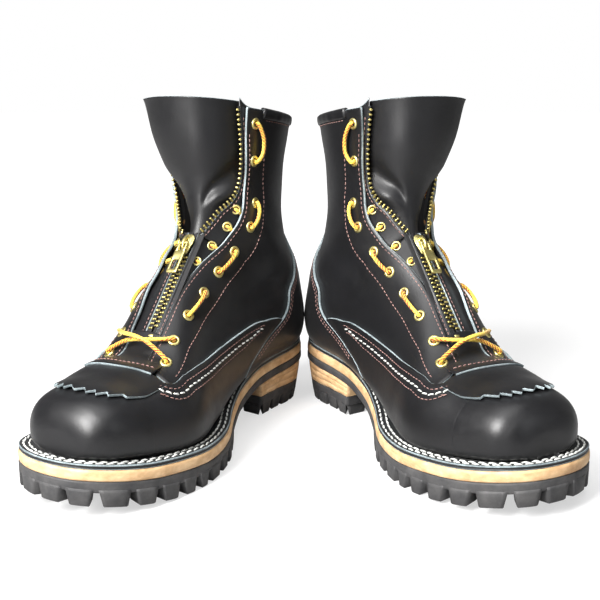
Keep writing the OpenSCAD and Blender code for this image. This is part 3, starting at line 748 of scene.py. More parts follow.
def welt():
    """Welt with a rounded edge and two sunken channels for the stitches."""
    section = [(15, 0.05), (15, 3.3), (9, 3.5), (8.4, 3.45), (7.6, 3.05), (6.8, 3.45), (5.2, 3.48),
               (4.6, 3.42), (3.9, 3.0), (3.1, 3.4), (2, 3.5), (1.3, 3.42), (0.9, 3.1), (0.75, 2.5),
               (0.95, 1.8), (1.15, 1.5), (0.9, 1.2), (0.75, 0.7), (0.95, 0.05)]
    mats = [0] * 11 + [1, 1, 0, 0, 0, 0, 1, 0]
    shape = Shape()
    add_ring_loft(shape, [outline_loop(inset, over_top(d)) for inset, d in section], mats)
    add_piece("welt", shape, [WELT, WELT_EDGE], stands_for=["welt"])


def welt_stitches():
    """Two rows of heavy stitches round the welt, from the waist's outer side round the toe."""
    s = np.linspace(3.4, 24, 500)
    for name, inset, slant in (("outer", 3.9, 7), ("inner", 7.6, -5)):
        q = edge_at(s) - inset * edge_out(s)
        z = sole_top(q[:, 1]) + WELT_T - 0.25
        points = np.concatenate([q, z[:, None]], 1)
        shape = Shape()
        add_stitches(shape, points, np.tile([0, 0, 1.0], (len(s), 1)), 5.6, 1.0, 0.72, slant=slant)
        add_piece(f"welt_stitches_{name}", shape, [WHITE_THREAD])


def midsole():
    """Natural leather midsole with a sanded, slightly crowned edge."""
    section = [(1.5, -7.48), (0.45, -7.25), (0.05, -6.4), (0, -4.4), (0.1, -2.2), (0.5, -0.4), (1.2, -0.02)]
    shape = Shape()
    add_loft(shape, [outline_loop(inset, over_top(d)) for inset, d in section])
    add_piece("midsole", shape, [NATURAL], stands_for=["midsole"])


def tread(y):
    return lookup(TREAD, y)


def lug_root(y):
    """Height at which the lugs leave the base."""
    return lookup(LUG_ROOT, y)


def base_low(y):
    return np.minimum(sole_top(y) - MIDSOLE_T - SHANK_LAYER_T, np.where(y > 115, lug_root(y), 99.0))


def lug_faces(steps):
    """Faces of a block of four loops, each of an outer row and an inner row of points."""
    n = 2 * steps
    faces = bands(n, 4)
    for k in (0, 3):
        faces += [[k * n + i, k * n + i + 1, k * n + n - 2 - i, k * n + n - 1 - i][::1 if k == 3 else -1]
                  for i in range(steps - 1)]
    return faces


def add_edge_lug(shape, s0, s1, depth, low, root):
    """A block along the sole's edge between notches at s0 and s1, wider at its root."""
    steps = 7
    speed = np.linalg.norm(edge_at((s0 + s1) / 2 + 0.05) - edge_at((s0 + s1) / 2 - 0.05)) / 0.1

    def loop(inset, half, height):
        outer_s = np.linspace(s0 + half / speed, s1 - half / speed, steps)
        inner_s = outer_s[::-1]
        q = np.concatenate([edge_at(outer_s) - inset * edge_out(outer_s),
                            edge_at(inner_s) - (depth - 0.8 * inset) * edge_out(inner_s)])
        return np.concatenate([q, height(q[:, 1])[:, None]], 1)
    loops = [loop(0.9, 4.6, low), loop(0.05, 3.9, lambda y: low(y) + 0.9),
             loop(-0.04, 2.1, root), loop(-0.04, 1.5, lambda y: root(y) + 2.3)]
    shape.add(np.concatenate(loops), lug_faces(steps))


def add_bar(shape, centre, length, width, turn, low, root):
    """A bevelled bar lug under the sole."""
    cut = 1.2
    a = math.radians(turn)
    x, y = np.array([math.cos(a), math.sin(a)]), np.array([-math.sin(a), math.cos(a)])
    loops = []
    for inset, rise in ((1.1, low), (0.35, low + 0.9), (0.0, root + 0.5)):
        l, w = length / 2 - inset, width / 2 - inset
        corners = [(-l, -w + cut), (-l + cut, -w), (l - cut, -w), (l, -w + cut), (l, w - cut), (l - cut, w),
                   (-l + cut, w), (-l, w - cut)]
        loops.append(np.array([[*(centre + u * x + v * y), rise] for u, v in corners]))
    faces = bands(8, 3)
    faces += [[7, 6, 5, 4], [7, 4, 3, 0], [3, 2, 1, 0], [16, 17, 18, 19], [16, 19, 20, 23], [20, 21, 22, 23]]
    shape.add(np.concatenate(loops), faces)


def outsole():
    """Rubber layer along the whole sole, with lugs round the forefoot and bars under it."""
    shape = Shape()
    section = [(1.3, base_low), (0.35, lambda y: base_low(y) + 0.5), (0.0, lambda y: base_low(y) + 1.6),
               (0.0, over_top(-9.1)), (0.25, over_top(-7.9)), (0.9, over_top(-7.5))]
    add_loft(shape, [outline_loop(inset, height) for inset, height in section])
    for s0, s1 in zip(NOTCHES[:-1], NOTCHES[1:]):
        add_edge_lug(shape, s0, s1, 15, tread, lug_root)
    for y in range(174, 262, 15):
        half = np.interp(y, [160, 200, 240, 262], [21, 25, 22, 15])
        for side in (-1, 1):
            at = np.array([-6 + side * half / 2, y])
            add_bar(shape, at, half * 0.95, 7.5, side * 24, tread(y) + 0.15, lug_root(y))
    add_piece("outsole", shape, [RUBBER], stands_for=["outsole"])


HEEL_SIDE = 40
HEEL_FRONT = 15
HEEL_REACH = 36
HEEL_TOP = 40


def heel_side(s, inset, height):
    """Points from the back of the heel to its breast, drawn in towards the tread."""
    q, o = edge_at(s), edge_out(s)
    z = height(q[:, 1])
    reach = ((q - HEEL_CENTRE) * o).sum(-1)
    limit = HEEL_REACH - HEEL_TAPER * (1 - np.minimum(z, HEEL_TOP) / HEEL_TOP)
    q = q - np.maximum(inset, reach - limit + inset - 0.6)[:, None] * o
    over = q[:, 1] - (HEEL_BREAST - np.interp(z, [0, HEEL_LUG_H, HEEL_TOP], [5, 2.5, 0]))
    k = np.argmax(over > 0)
    end = mix(q[k - 1], q[k], -over[k - 1] / (over[k] - over[k - 1]))
    line = np.concatenate([q[:k], end[None]])
    length = distances(line)
    even = np.linspace(0, length[-1], HEEL_SIDE)
    return np.stack([np.interp(even, length, line[:, c]) for c in range(2)], 1)


def heel_loop(inset, height):
    """Outline of the heel at a height, or at heights given by a function of Y."""
    rise = height if callable(height) else lambda y: np.full(np.shape(y), float(height))
    outer = heel_side(np.linspace(0, 5.5, 500), inset, rise)
    inner = heel_side(np.linspace(len(OUTLINE), 21.5, 500), inset, rise)
    r = np.linspace(0, 1, HEEL_FRONT + 2)[1:-1, None]
    front = mix(outer[-1], inner[-1], r) - np.array([0, 2.5]) * np.sin(math.pi * r)
    loop = np.concatenate([outer, front, inner[:0:-1]])
    return np.concatenate([loop, rise(loop[:, 1])[:, None]], 1)


def heel_stack():
    """Leather lifts of the heel, with a fine line between each."""
    shape = Shape()
    top = lambda y: sole_top(y) - MIDSOLE_T - SHANK_LAYER_T - 0.02
    level = lambda f, d: lambda y: mix(HEEL_LUG_H + 0.02, top(y), f) + d
    loops = [heel_loop(1.4, level(0, 0)), heel_loop(0.65, level(0, 0.5))]
    for f in (0.36, 0.7):
        for inset, d in ((0.6, -0.45), (0.95, -0.1), (0.95, 0.1), (0.6, 0.45)):
            loops.append(heel_loop(inset, level(f, d)))
    loops += [heel_loop(0.65, level(1, -0.5)), heel_loop(1.2, level(1, 0))]
    add_loft(shape, loops)
    add_piece("heel_stack", shape, [NATURAL], stands_for=["heel_stack"])


def add_heel_lugs(shape, low, high, order, count, root):
    """Blocks along part of the heel's edge, in the order of the given loop points."""
    low, high = low[order], high[order]
    length = distances(high[:, :2])
    width = length[-1] / count
    centre = HEEL_CENTRE + np.array([0.0, 4.0])
    steps = 6

    def ring(loop, a, b, inset, depth, half, z):
        at = np.linspace(a + half, b - half, steps)
        q = np.stack([np.interp(at, length, loop[:, c]) for c in range(2)], 1)
        inward = unit(centre - q)
        return np.array([[*p, z] for p in np.concatenate([q + inset * inward, (q + depth * inward)[::-1]])])
    for k in range(count):
        a, b = width * k, width * (k + 1)
        loops = [ring(low, a, b, 1.0, 10.5, 3.0, 0.0), ring(low, a, b, 0.1, 11.5, 2.4, 0.9),
                 ring(high, a, b, -0.04, 12.5, 1.1, root), ring(high, a, b, -0.04, 12.5, 0.8, root + 2.0)]
        shape.add(np.concatenate(loops), lug_faces(steps))


def heel_lug():
    """Rubber top lift of the heel with lugs round it and bars inside."""
    shape = Shape()
    root = LUG_NOTCH_H
    section = [(1.6, root), (0.8, root + 0.6), (0.6, root + 1.6), (0.6, HEEL_LUG_H - 1),
               (0.8, HEEL_LUG_H - 0.3), (1.3, HEEL_LUG_H)]
    add_loft(shape, [heel_loop(inset, z) for inset, z in section])
    low, high = heel_loop(0.9, 0.0), heel_loop(0.6, root)
    n = len(high)
    sides = list(range(HEEL_SIDE - 1, -1, -1)) + list(range(n - 1, n - HEEL_SIDE, -1))
    add_heel_lugs(shape, low, high, sides, 12, root)
    add_heel_lugs(shape, low, high, list(range(HEEL_SIDE - 1, n - HEEL_SIDE + 2)), 3, root)
    for y in (30, 46, 60):
        for side in (-1, 1):
            add_bar(shape, np.array([4 + side * 7, y]), 11, 6, side * 24, 0.15, root)
    add_piece("heel_lug", shape, [RUBBER], stands_for=["heel_lug"])


# ---- uppers ----
QUARTER_ROWS = [[0, 4.6], [0.3, 7.8], [0.75, 10], [1, TOP]]


def side_leather(shape, side, rows, edge, rise, nu, nv, d0, d1, **options):
    """Leather on one side: rows of u from the table, columns from the angle edge(t) to the welt."""
    def rule(u, v):
        t = lookup(rows, u)
        f = edge(t)
        b = np.maximum(f + 3, foot(t, rise))
        return t, side * mix(f, b, v if side > 0 else 1 - v), 0 * t
    leather(shape, rule, nu, nv, d0, d1, **options)


def front_side(side):
    """Which sheet edge is the front one, for a piece whose columns end at the welt."""
    return "l" if side > 0 else "r"


def quarter(side, name):
    """One side of the shaft, from its front edge to the welt and, above it, to the back seam."""
    shape = Shape()
    side_leather(shape, side, QUARTER_ROWS, quarter_front, -0.5, 110, 64, -LEATHER_T, 0,
                 cut="bt" + front_side(side), back=2, rim=0.3)
    add_piece(name, shape, [BLACK, CUT_EDGE, LINING], stands_for=[name])


def vamp_sink(t):
    """The vamp sinks under the quarters behind the toe."""
    return -(LEATHER_T + GAP) * value([[3.7, 0], [4.4, 1], [6, 1]], t)


def vamp():
    """Toe and forefoot; its first row, at the toe's tip, hangs down behind the welt."""
    shape = Shape()

    def rule(u, v):
        t = mix(0, 5.15, np.maximum(0, u * 1.012 - 0.012))
        f = foot(t, -0.5)
        return t, mix(-f, f, v), vamp_sink(t)
    leather(shape, rule, 90, 120, -LEATHER_T, 0, drop=4.5, cut="", back=2, rim=0.3)
    add_piece("vamp", shape, [BLACK, CUT_EDGE, LINING], stands_for=["vamp"])


def counter_cover():
    """Cover of the heel counter, in two halves laid on the quarters."""
    shape = Shape()
    rows = [[0, 7.35], [0.75, 10.4], [1, 12.4]]
    for side in (MEDIAL, LATERAL):
        side_leather(shape, side, rows, lambda t: value(COUNTER_EDGE, t), -0.5, 90, 40, 0.1, 0.4 + COVER_T,
                     cut="t" + front_side(side), rim=0.35)
    add_piece("counter_cover", shape, [BLACK, CUT_EDGE], stands_for=["counter_cover"])


ARCH_FRONT = 3.55
ARCH_REAR_ROWS = 6.9, 8.66
TOE_SEAM = 3.7


def arch_lift(t):
    """The patch rises from the vamp's surface, in front of the toe seam, to lie over the quarter."""
    return mix(-0.57 - COVER_T, 0.0, smooth((t - TOE_SEAM) / 1.1)) - 0.9 * smooth((TOE_SEAM - t) / 0.1)


def arch_rear(w):
    """Row at which the patch reaches the counter's edge, for w from its top edge to the welt."""
    first, last = ARCH_REAR_ROWS
    short = lambda t: mix(value(ARCH_TOP, t), foot(t, -0.5), w) <= value(COUNTER_EDGE, t)
    return halved(np.full(w.shape, first), np.full(w.shape, last), short)[0]


def arch_patch(side, name):
    """Patch along the welt from the toe seam to the counter, sunk at both ends."""
    shape = Shape()

    def rule(u, v):
        w = v if side > 0 else 1 - v
        rear = arch_rear(w[0])[None] + 0.03
        t = mix(ARCH_FRONT, rear, u)
        top = value(ARCH_TOP, t)
        p = mix(top, np.maximum(top + 4, foot(t, -0.5)), w)
        return t, side * p, arch_lift(t) - 0.55 * smooth((t - rear + 0.22) / 0.2)
    leather(shape, rule, 120, 40, 0.3, 0.55 + COVER_T, cut=front_side(side), rim=0.35)
    add_piece(name, shape, [BLACK, CUT_EDGE], stands_for=[name])


def band_rows(p):
    """How many rows of the last one millimetre is, at the top line and angle p."""
    return 1 / mix(51, 22, (1 + np.cos(np.radians(p))) / 2)


def collar_band():
    """Folded binding that wraps over the quarters' top edge."""
    shape = Shape()
    angles = np.linspace(80, 280, 130)
    section = [(1.05, 0.1, 0), (1, 0.9, 0), (0.85, 1.5, 0), (0.45, 1.75, 0), (0.02, 1.6, 0), (0, 1.35, 0.9),
               (0, 0.4, 1.7), (0, -1.0, 1.9), (0, -2.2, 1.5), (0, -2.9, 0.7), (0.02, -3.1, 0), (0.4, -3.2, 0),
               (0.8, -3.0, 0), (1, -2.3, 0), (0.9, -1.0, 0)]
    down, d, lift = np.array(section, float).T
    loops = []
    for a in angles:
        t = TOP - BAND_H * band_rows(a) * down
        soft = 0.12 * math.sin(a / 3.1) + 0.1 * math.sin(a / 1.7)
        pts = skin(t, np.full(len(t), a), d + soft)
        pts[:, 2] += lift
        loops.append(pts)
    n = len(section)
    shape.add(np.concatenate(loops), bands(n, len(loops)) + caps(n, len(loops)))
    add_piece("collar_band", shape, [BLACK], stands_for=["collar_band"])


def zigzag(v):
    """0 to 1 and back for each tooth of the fringe."""
    return np.abs((v * FRINGE_TEETH) % 1 - 0.5) * 2


def kiltie_front(p, v):
    return 2.95 + 0.75 * (np.abs(p) / KILTIE_HALF) ** 3 + 0.17 * zigzag(v)


def kiltie():
    """Fringed flap: pinked front edge, its points lifted a little off the vamp."""
    shape = Shape()

    def rule(u, v):
        p = mix(-KILTIE_HALF, KILTIE_HALF, v)
        t0 = kiltie_front(p, v)
        t = mix(t0, 4.5, u)
        ahead = smooth((3.9 - t) / 0.9)
        return t, p, ahead * (1.3 + 0.45 * np.sin(p / 7 + 0.6)) + 0.2
    leather(shape, rule, 36, FRINGE_TEETH * 16, 0.15, 0.15 + COVER_T, cut="brtl", rim=0.25)
    add_piece("kiltie", shape, [BLACK, CUT_EDGE], stands_for=["kiltie"])


def tongue_fold(t, v):
    """Soft shape of the tongue: a long crown, and a swell on its inner side behind a slanting crease."""
    crown = 2.2 * np.sin(math.pi * np.clip(v, 0, 1)) * smooth((t - 10) / 2)
    crease = 0.02 + 0.20 * (11.7 - t)
    rise = smooth((t - 9.6) / 0.8) * smooth((12.1 - t) / 0.9)
    groove = -3.0 * rise * np.exp(-((v - crease) / 0.08) ** 2)
    swell = 3.2 * rise * np.exp(-((v - crease + 0.15) / 0.10) ** 2)
    return crown + groove + swell


def tongue_rule(u, v):
    t = mix(5.2, TOP, u)
    p = mix(value(TONGUE_MEDIAL, t), value(TONGUE_LATERAL, t), v)
    lean = np.maximum(0, lookup(TONGUE_LEAN, t)) * v ** 1.8
    return t, p, value(TONGUE_DEPTH, t) + lean + tongue_fold(t, v)


def tongue():
    """Tongue with its soft folds; its top edge stands over the collar."""
    shape = Shape()
    raised = lambda t: 3.5 * smooth((t - 11.6) / 1.4)
    leather(shape, tongue_rule, 130, 60, -1.7, 0, raised=raised, cut="t", rim=0.3)
    add_piece("tongue", shape, [TONGUE, CUT_EDGE], stands_for=["tongue"])


# ---- zip insert ----
CHAIN_TOP = np.array([-2.5, 137.8, 146.1])
CHAIN_LOW = np.array([-6.5, 193.3, 89.2])
CHAIN_L = np.linalg.norm(CHAIN_LOW - CHAIN_TOP)
CHAIN_DIR = unit(CHAIN_LOW - CHAIN_TOP)
CHAIN_OUT = unit(np.cross([1, -0.1, 0], CHAIN_DIR))
CHAIN_SIDE = np.cross(CHAIN_DIR, CHAIN_OUT)
FLAP_N = len(FLAP_MEDIAL)
OVER_CHAIN = 11


def on_chain(points, y=0.0):
    """Points in the chain's frame (X to the outer side, Y down it, Z outwards) in the boot's."""
    p = np.asarray(points, float)
    return CHAIN_TOP + p[..., 0:1] * CHAIN_SIDE + (p[..., 1:2] + y) * CHAIN_DIR + p[..., 2:3] * CHAIN_OUT


def flap_points(side):
    table = np.array(FLAP_LATERAL if side > 0 else FLAP_MEDIAL, float)
    first = CHAIN_TOP + side * (CHAIN_SLIT / 2 + TOOTH_W / 2) * CHAIN_SIDE - OVER_CHAIN * CHAIN_DIR
    return np.concatenate([first[None], bare_skin(table[:, 0], table[:, 1], FLAP_DEPTH)])


FLAPS = {side: flap_points(side) for side in (MEDIAL, LATERAL)}


def flap_row(w):
    """Row of the last beside the open flap's point w."""
    table = np.array([[q[0]] for q in FLAP_MEDIAL])
    w = np.asarray(w, float)
    return np.where(w < 1, mix(8.7, 8.9, w), along(table, w - 1)[..., 0])


def chain_line(u):
    """Points up the middle of the chain, from its low end at u = 0 to over its top at u = 1."""
    return mix(CHAIN_LOW, CHAIN_TOP - OVER_CHAIN * CHAIN_DIR, np.minimum(u, 1)[:, None])


def insert_edge(side, u):
    """Inner edge of the insert's leather: along the closed chain for u < 1, then the open flap."""
    u = np.asarray(u, float)
    low = chain_line(u) + side * (CHAIN_SLIT / 2 + TOOTH_W + 0.3) * CHAIN_SIDE
    w = np.maximum(u - 1, 0) * FLAP_N
    p = along(FLAPS[side], w)
    q = bare_skin(flap_row(w), np.full(w.shape, side * 85.0), FLAP_DEPTH)
    high = p + (TOOTH_W / 2 + 0.7) * unit(q - p)
    return np.where((u < 1)[:, None], low, high)


def insert_row(u):
    """Row of the last beside the insert's point u."""
    return np.where(u < 1, mix(5.6, 8.7, u), flap_row((u - 1) * FLAP_N))


def insert_grid(side, nu, nv):
    """Middle points and normals of the insert's leather, from its inner edge outwards."""
    u = np.linspace(0, 2, nu + 1)
    t = insert_row(u)
    a = insert_edge(side, u)
    p = side * (quarter_front(t) + 11)
    b = bare_skin(t, p, np.full(t.shape, -LEATHER_T - 2 * GAP - INSERT_T / 2))
    b = b + relief(b)[:, None] * normal_at(t, p)
    v = np.linspace(0, 1, nv + 1)
    points = mix(a[:, None], b[:, None], v[None, :, None])
    normals = np.stack([normal_at(t, mix(side * 4, p, x)) for x in v], 1)
    top_tab = 6.0 if side < 0 else 2.4
    tall = np.clip((u - 1.88) / 0.12, 0, 1) ** 2 * top_tab
    points[..., 2] += tall[:, None] * (1 - v[None, :]) ** 3
    return points, normals


def zip_panel(side, name):
    """The insert's leather on one side of the zip."""
    shape = Shape()
    points, normals = insert_grid(side, 150, 12)
    if side < 0:
        points, normals = points[:, ::-1], normals[:, ::-1]
    half = INSERT_T / 2
    add_sheet(shape, points + half * normals, points - half * normals, cut="t" + front_side(side), rim=0.4)
    add_piece(name, shape, [BLACK, CUT_EDGE], stands_for=[name])


def panel_line(side, inset):
    """Points and normals along the insert's leather, inset from its inner edge, short of its top."""
    points, normals = insert_grid(side, 150, 12)
    keep = np.linspace(0, 2, 151) <= 1.95
    a, b = points[keep, 0], points[keep, -1]
    n = normals[keep, 2]
    return a + inset * unit(b - a) + (INSERT_T / 2) * n, n


def insert_base():
    """Lower end of the insert, which lies over the fringed flap and under the quarters."""
    shape = Shape()

    def rule(u, v):
        p = mix(-26, 34, v)
        t = mix(4.46 - 0.12 * np.cos(math.pi * (v - 0.5)), 5.75, u)
        rest = mix(2.0, -2.6, smooth((u - 0.02) / 0.55))
        return t, p, rest
    leather(shape, rule, 30, 40, -0.1, 1.5, cut="b", rim=0.35)
    add_piece("insert_base", shape, [BLACK, CUT_EDGE])


def zip_tape(side, name):
    """Woven tape that carries the teeth, tucked under the insert's leather."""
    shape = Shape()
    u = np.linspace(0, 2, 121)
    edge = insert_edge(side, u)
    t = insert_row(u)
    n = normal_at(t, np.full(t.shape, side * 6.0))
    closed = (u < 1)[:, None]
    chain = chain_line(u) + side * 0.9 * CHAIN_SIDE
    flap = along(FLAPS[side], np.maximum(u - 1, 0) * FLAP_N)
    across = unit(edge - np.where(closed, chain, flap))
    start = np.where(closed, chain, flap + 0.2 * across)
    stop = edge + 5 * across
    columns = 7
    v = np.linspace(0, 1, columns)
    middle = mix(start[:, None], stop[:, None], v[None, :, None])
    lift = -0.55 - 0.5 * v
    n = n[:, None] * np.ones((1, columns, 1))
    points = middle + lift[None, :, None] * n
    if side < 0:
        points, n = points[:, ::-1], n[:, ::-1]
    add_sheet(shape, points + 0.28 * n, points - 0.28 * n, cut="", rim=0.1)
    add_piece(name, shape, [TAPE])


def tooth_template():
    """A zip tooth: rounded head at +X, waisted neck and a clamp at -X; half width 1 in X."""
    profile = [(-1.0, 0.42, 0.62), (-0.72, 0.5, 0.9), (-0.35, 0.5, 1.0), (0.0, 0.36, 0.8), (0.3, 0.34, 0.78),
               (0.6, 0.5, 0.95), (0.88, 0.46, 0.85), (1.0, 0.28, 0.55)]
    sides = 8
    angle = (np.arange(sides) + 0.5) * 2 * math.pi / sides
    points = []
    for x, half_y, half_z in profile:
        for a in angle:
            c, s = math.cos(a), math.sin(a)
            points.append([x, half_y * np.sign(c) * abs(c) ** 0.6, half_z * np.sign(s) * abs(s) ** 0.6])
    faces = bands(sides, len(profile)) + caps(sides, len(profile))
    return np.array(points), [f[::-1] for f in faces]


TOOTH, TOOTH_FACES = tooth_template()


def flap_teeth_frames(side):
    """Origins and axes of the teeth on the open flap, a pitch apart from just above the slider."""
    w = np.linspace(0, FLAP_N, 1200)
    line = along(FLAPS[side], w)
    length = distances(line)
    first, both_ends = 7, 9
    count = int((length[-1] - both_ends) // TOOTH_PITCH) + 1
    spots = np.interp(first + TOOTH_PITCH * np.arange(count), length, w)
    o = along(FLAPS[side], spots)
    d = unit(along(FLAPS[side], spots + 0.05) - along(FLAPS[side], spots - 0.05))
    n = normal_at(flap_row(spots), np.full(spots.shape, side * 40.0))
    x = unit(np.cross(d, n))
    edge = insert_edge(side, 1 + spots / FLAP_N)
    flip = np.sign(((edge - o) * x).sum(-1, keepdims=True))
    x = -x * flip
    rolled = 60 if side < 0 else 15
    turn = (math.radians(rolled) * smooth((flap_row(spots) - 10) / 1.6))[:, None]
    x = x * np.cos(turn) + n * np.sin(turn)
    return o, x, d, unit(np.cross(x, d))


def zip_teeth(side, name):
    """Teeth of the closed chain, clear of its middle so that the slider's neck passes, and of the flap."""
    shape = Shape()
    half_x = 1.75
    off_middle = 0.4
    first, both_ends = 13, 19
    count = int((CHAIN_L - both_ends) // TOOTH_PITCH) + 1
    y = first + (np.arange(count) + side * 0.25) * TOOTH_PITCH
    origin = on_chain(np.stack([np.full(count, side * (half_x + off_middle)), y, np.zeros(count)], 1))
    ones = np.ones((count, 1))
    frames = (origin, -side * half_x * CHAIN_SIDE * ones, 1.5 * CHAIN_DIR * ones, 1.25 * CHAIN_OUT * ones)
    shape.add_many(TOOTH, TOOTH_FACES, frames)
    o, x, d, z = flap_teeth_frames(side)
    shape.add_many(TOOTH, TOOTH_FACES, (o, x * TOOTH_W / 2, d * 1.7, z * 1.25))
    add_piece(name, shape, [TEETH_BRASS], stands_for=[name])


def rounded_box(shape, low, high, r, frame_of):
    """A box with chamfered edges, given by its corners. Each corner has three points, one on each
    of the faces that meet there."""
    low, high = np.array(low, float), np.array(high, float)
    middle, half = (low + high) / 2, (high - low) / 2
    corners = list(product((-1, 1), repeat=3))
    points, faces = [], []
    for corner in corners:
        for k in range(3):
            off = np.array(corner) * (half - r)
            off[k] = corner[k] * half[k]
            points.append(middle + off)

    def spot(axes, signs, kind):
        corner = [0, 0, 0]
        for axis, sign in zip(axes, signs):
            corner[axis] = sign
        return 3 * corners.index(tuple(corner)) + kind
    for k in range(3):
        axes = k, (k + 1) % 3, (k + 2) % 3
        for s in (-1, 1):
            face = [spot(axes, (s, sa, sb), k) for sa, sb in ((-1, -1), (1, -1), (1, 1), (-1, 1))]
            faces.append(face if s > 0 else face[::-1])
        for sa, sb in product((-1, 1), repeat=2):
            quad = [spot(axes, (s, sa, sb), axes[kind]) for s, kind in ((-1, 1), (1, 1), (1, 2), (-1, 2))]
            faces.append(quad if sa * sb < 0 else quad[::-1])
    for k, corner in enumerate(corners):
        tri = [3 * k, 3 * k + 1, 3 * k + 2]
        faces.append(tri if math.prod(corner) > 0 else tri[::-1])
    shape.add(frame_of(np.array(points)), faces)


def zip_stop():
    """Metal block that ends the chain."""
    shape = Shape()
    y = CHAIN_L - 1.5
    rounded_box(shape, (-3.8, y - 1.2, -1.7), (3.8, y + 1.2, 1.7), 0.5, on_chain)
    add_piece("zip_stop", shape, [TEETH_BRASS], stands_for=["zip_stop"])


def add_plate(shape, outline, low, high, bevel, frame_of):
    """A flat plate with bevelled rims from an outline in X and Y."""
    q = np.array(outline, float)
    centre = q.mean(0)
    inner = q - bevel * unit(q - centre)
    loops = [(inner, low), (q, low + bevel * 0.7), (q, high - bevel * 0.7), (inner, high)]
    points = np.concatenate([np.concatenate([p, np.full((len(p), 1), z)], 1) for p, z in loops])
    n = len(q)
    shape.add(frame_of(points), bands(n, 4) + caps(n, 4))


def slider_outline(scale=1.0):
    """Crown, waist and skirt of the slider's plate."""
    half = [(0, -8.5), (1.6, -8.4), (3.3, -7.7), (4.6, -6.3), (5.3, -4.3), (5.5, -2.0), (5.2, 0.6),
            (4.5, 3.2), (4.0, 5.8), (3.6, 7.7), (3.0, 8.4), (0, 8.5)]
    right = [(x * scale, y * scale) for x, y in half]
    return right + [(-x, y) for x, y in right[-2:0:-1]]


def zip_slider():
    """Slider: bevelled plates, side flanges, neck and an arched lug that holds the pull tab."""
    shape = Shape()
    at = lambda q: on_chain(q, SLIDER_Y)
    face = PLATE_Z + PLATE_T
    add_plate(shape, slider_outline(), PLATE_Z, face, 0.4, at)
    add_plate(shape, slider_outline(0.8), face - 0.2, face + 0.45, 0.4, at)
    add_plate(shape, slider_outline(), -PLATE_Z - PLATE_T, -PLATE_Z, 0.4, at)
    rounded_box(shape, (-0.3, -8.2, -PLATE_Z - 0.2), (0.3, -5.2, PLATE_Z + 0.2), 0.12, at)
    n = 13
    arch = 1.2 + 3.7 * np.sin(np.linspace(0.12, math.pi - 0.12, n)) ** 0.6
    line = np.stack([np.zeros(n), np.linspace(-5.0, 5.0, n), face - 0.6 + arch - 1.0], 1)
    add_tube(shape, at(resample(line, 0.6)), 1.05, 10)
    for side in (-1, 1):
        low = (side * 1.9 - 0.5, -4.6, face - 0.2)
        high = (side * 1.9 + 0.5, -1.6, face + 1.3)
        rounded_box(shape, low, high, 0.3, at)
    add_piece("zip_slider", shape, [BRASS], body="slider", stands_for=["zip_slider"])


def rounded_rectangle(half_x, y0, y1, r):
    steps = 5
    points = []
    for cx, cy, start in ((half_x - r, y0 + r, -90), (half_x - r, y1 - r, 0), (-half_x + r, y1 - r, 90),
                          (-half_x + r, y0 + r, 180)):
        for k in range(steps + 1):
            a = math.radians(start + 90 * k / steps)
            points.append((cx + r * math.cos(a), cy + r * math.sin(a)))
    return np.array(points)


def pull_tab():
    """Pull tab: a bevelled plate with a window, a raised border, and a pin between two ears."""
    shape = Shape()
    at = lambda q: on_chain(np.asarray(q) + np.array([0, HINGE_Y, HINGE_Z]), SLIDER_Y)
    outer = rounded_rectangle(4.5, 6.2, TAB_L, 1.5)
    window = rounded_rectangle(2.6, TAB_L - 11, TAB_L - 3, 0.7)
    ring = lambda q, grow, z: np.concatenate([q + grow * unit(q - q.mean(0)), np.full((len(q), 1), z)], 1)
    loops = [ring(outer, grow, z) for grow, z in ((-0.35, 0.8), (0, 0.5), (0, -0.5), (-0.35, -0.8))]
    loops += [ring(window, grow, z) for grow, z in ((0.3, -0.8), (0, -0.5), (0, 0.5), (0.3, 0.8))]
    n = len(outer)
    shape.add(at(np.concatenate(loops)), bands(n, len(loops), closed=True))
    for side in (-1, 1):
        rounded_box(shape, (side * 3.1 - 0.95, -1.3, -0.85), (side * 3.1 + 0.95, 8.0, 0.85), 0.4, at)
    add_tube(shape, at(np.stack([np.linspace(-3.4, 3.4, 9), np.zeros(9), np.zeros(9)], 1)), 1.1, 12)
    add_piece("pull_tab", shape, [BRASS], body="tab", stands_for=["pull_tab"])


# ---- eyelets and lace ----
def add_eyelet(shape, centre, axis, r, hole, h):
    """A rolled brass flange round a dark disc of painted shade that fills its hole."""
    z = unit(axis)
    x = unit(np.cross(z, [0, 0, 1.0]))
    y = np.cross(z, x)
    roll = [(hole - 0.35, -1.2), (hole - 0.05, 0.2), (hole + 0.15, h * 0.8), (mix(hole, r, 0.35), h * 1.12),
            (mix(hole, r, 0.6), h * 1.1), (mix(hole, r, 0.85), h * 0.75), (r, h * 0.25), (r - 0.1, -0.35),
            (mix(hole, r, 0.5), -0.5), (hole + 0.1, -1.3)]
    steps = 28
    a = np.arange(steps) * 2 * math.pi / steps
    ring = np.cos(a)[:, None] * x + np.sin(a)[:, None] * y
    points = [centre + rr * ring + zz * z for rr, zz in roll]
    shape.add(np.concatenate(points), bands(steps, len(roll), closed=True), 0)
    # The disc is painted shade: a near-black plug set in the hole where it would lie in shadow.
    disc = [centre + hole * ring + zz * z for zz in (-0.6, 0.08)]
    shape.add(np.concatenate(disc), bands(steps, 2) + caps(steps, 2), 1)


def panel_point(side, t):
    """Where an insert eyelet lies on row t, a little in from the quarter's front edge."""
    p = side * (quarter_front(t) - PANEL_INSET)
    return bare_skin(*one(t, p, -LEATHER_T - GAP + 0.3))[0]


def panel_spot(side, t):
    """Point and normal of an insert eyelet's seat on row t."""
    points, normals = insert_grid(side, 300, 12)
    target = panel_point(side, t)
    best = np.argmin(((points - target) ** 2).sum(-1).ravel())
    n = normals.reshape(-1, 3)[best]
    seat = points.reshape(-1, 3)[best] + INSERT_T / 2 * n
    return target - ((target - seat) @ n) * n, n


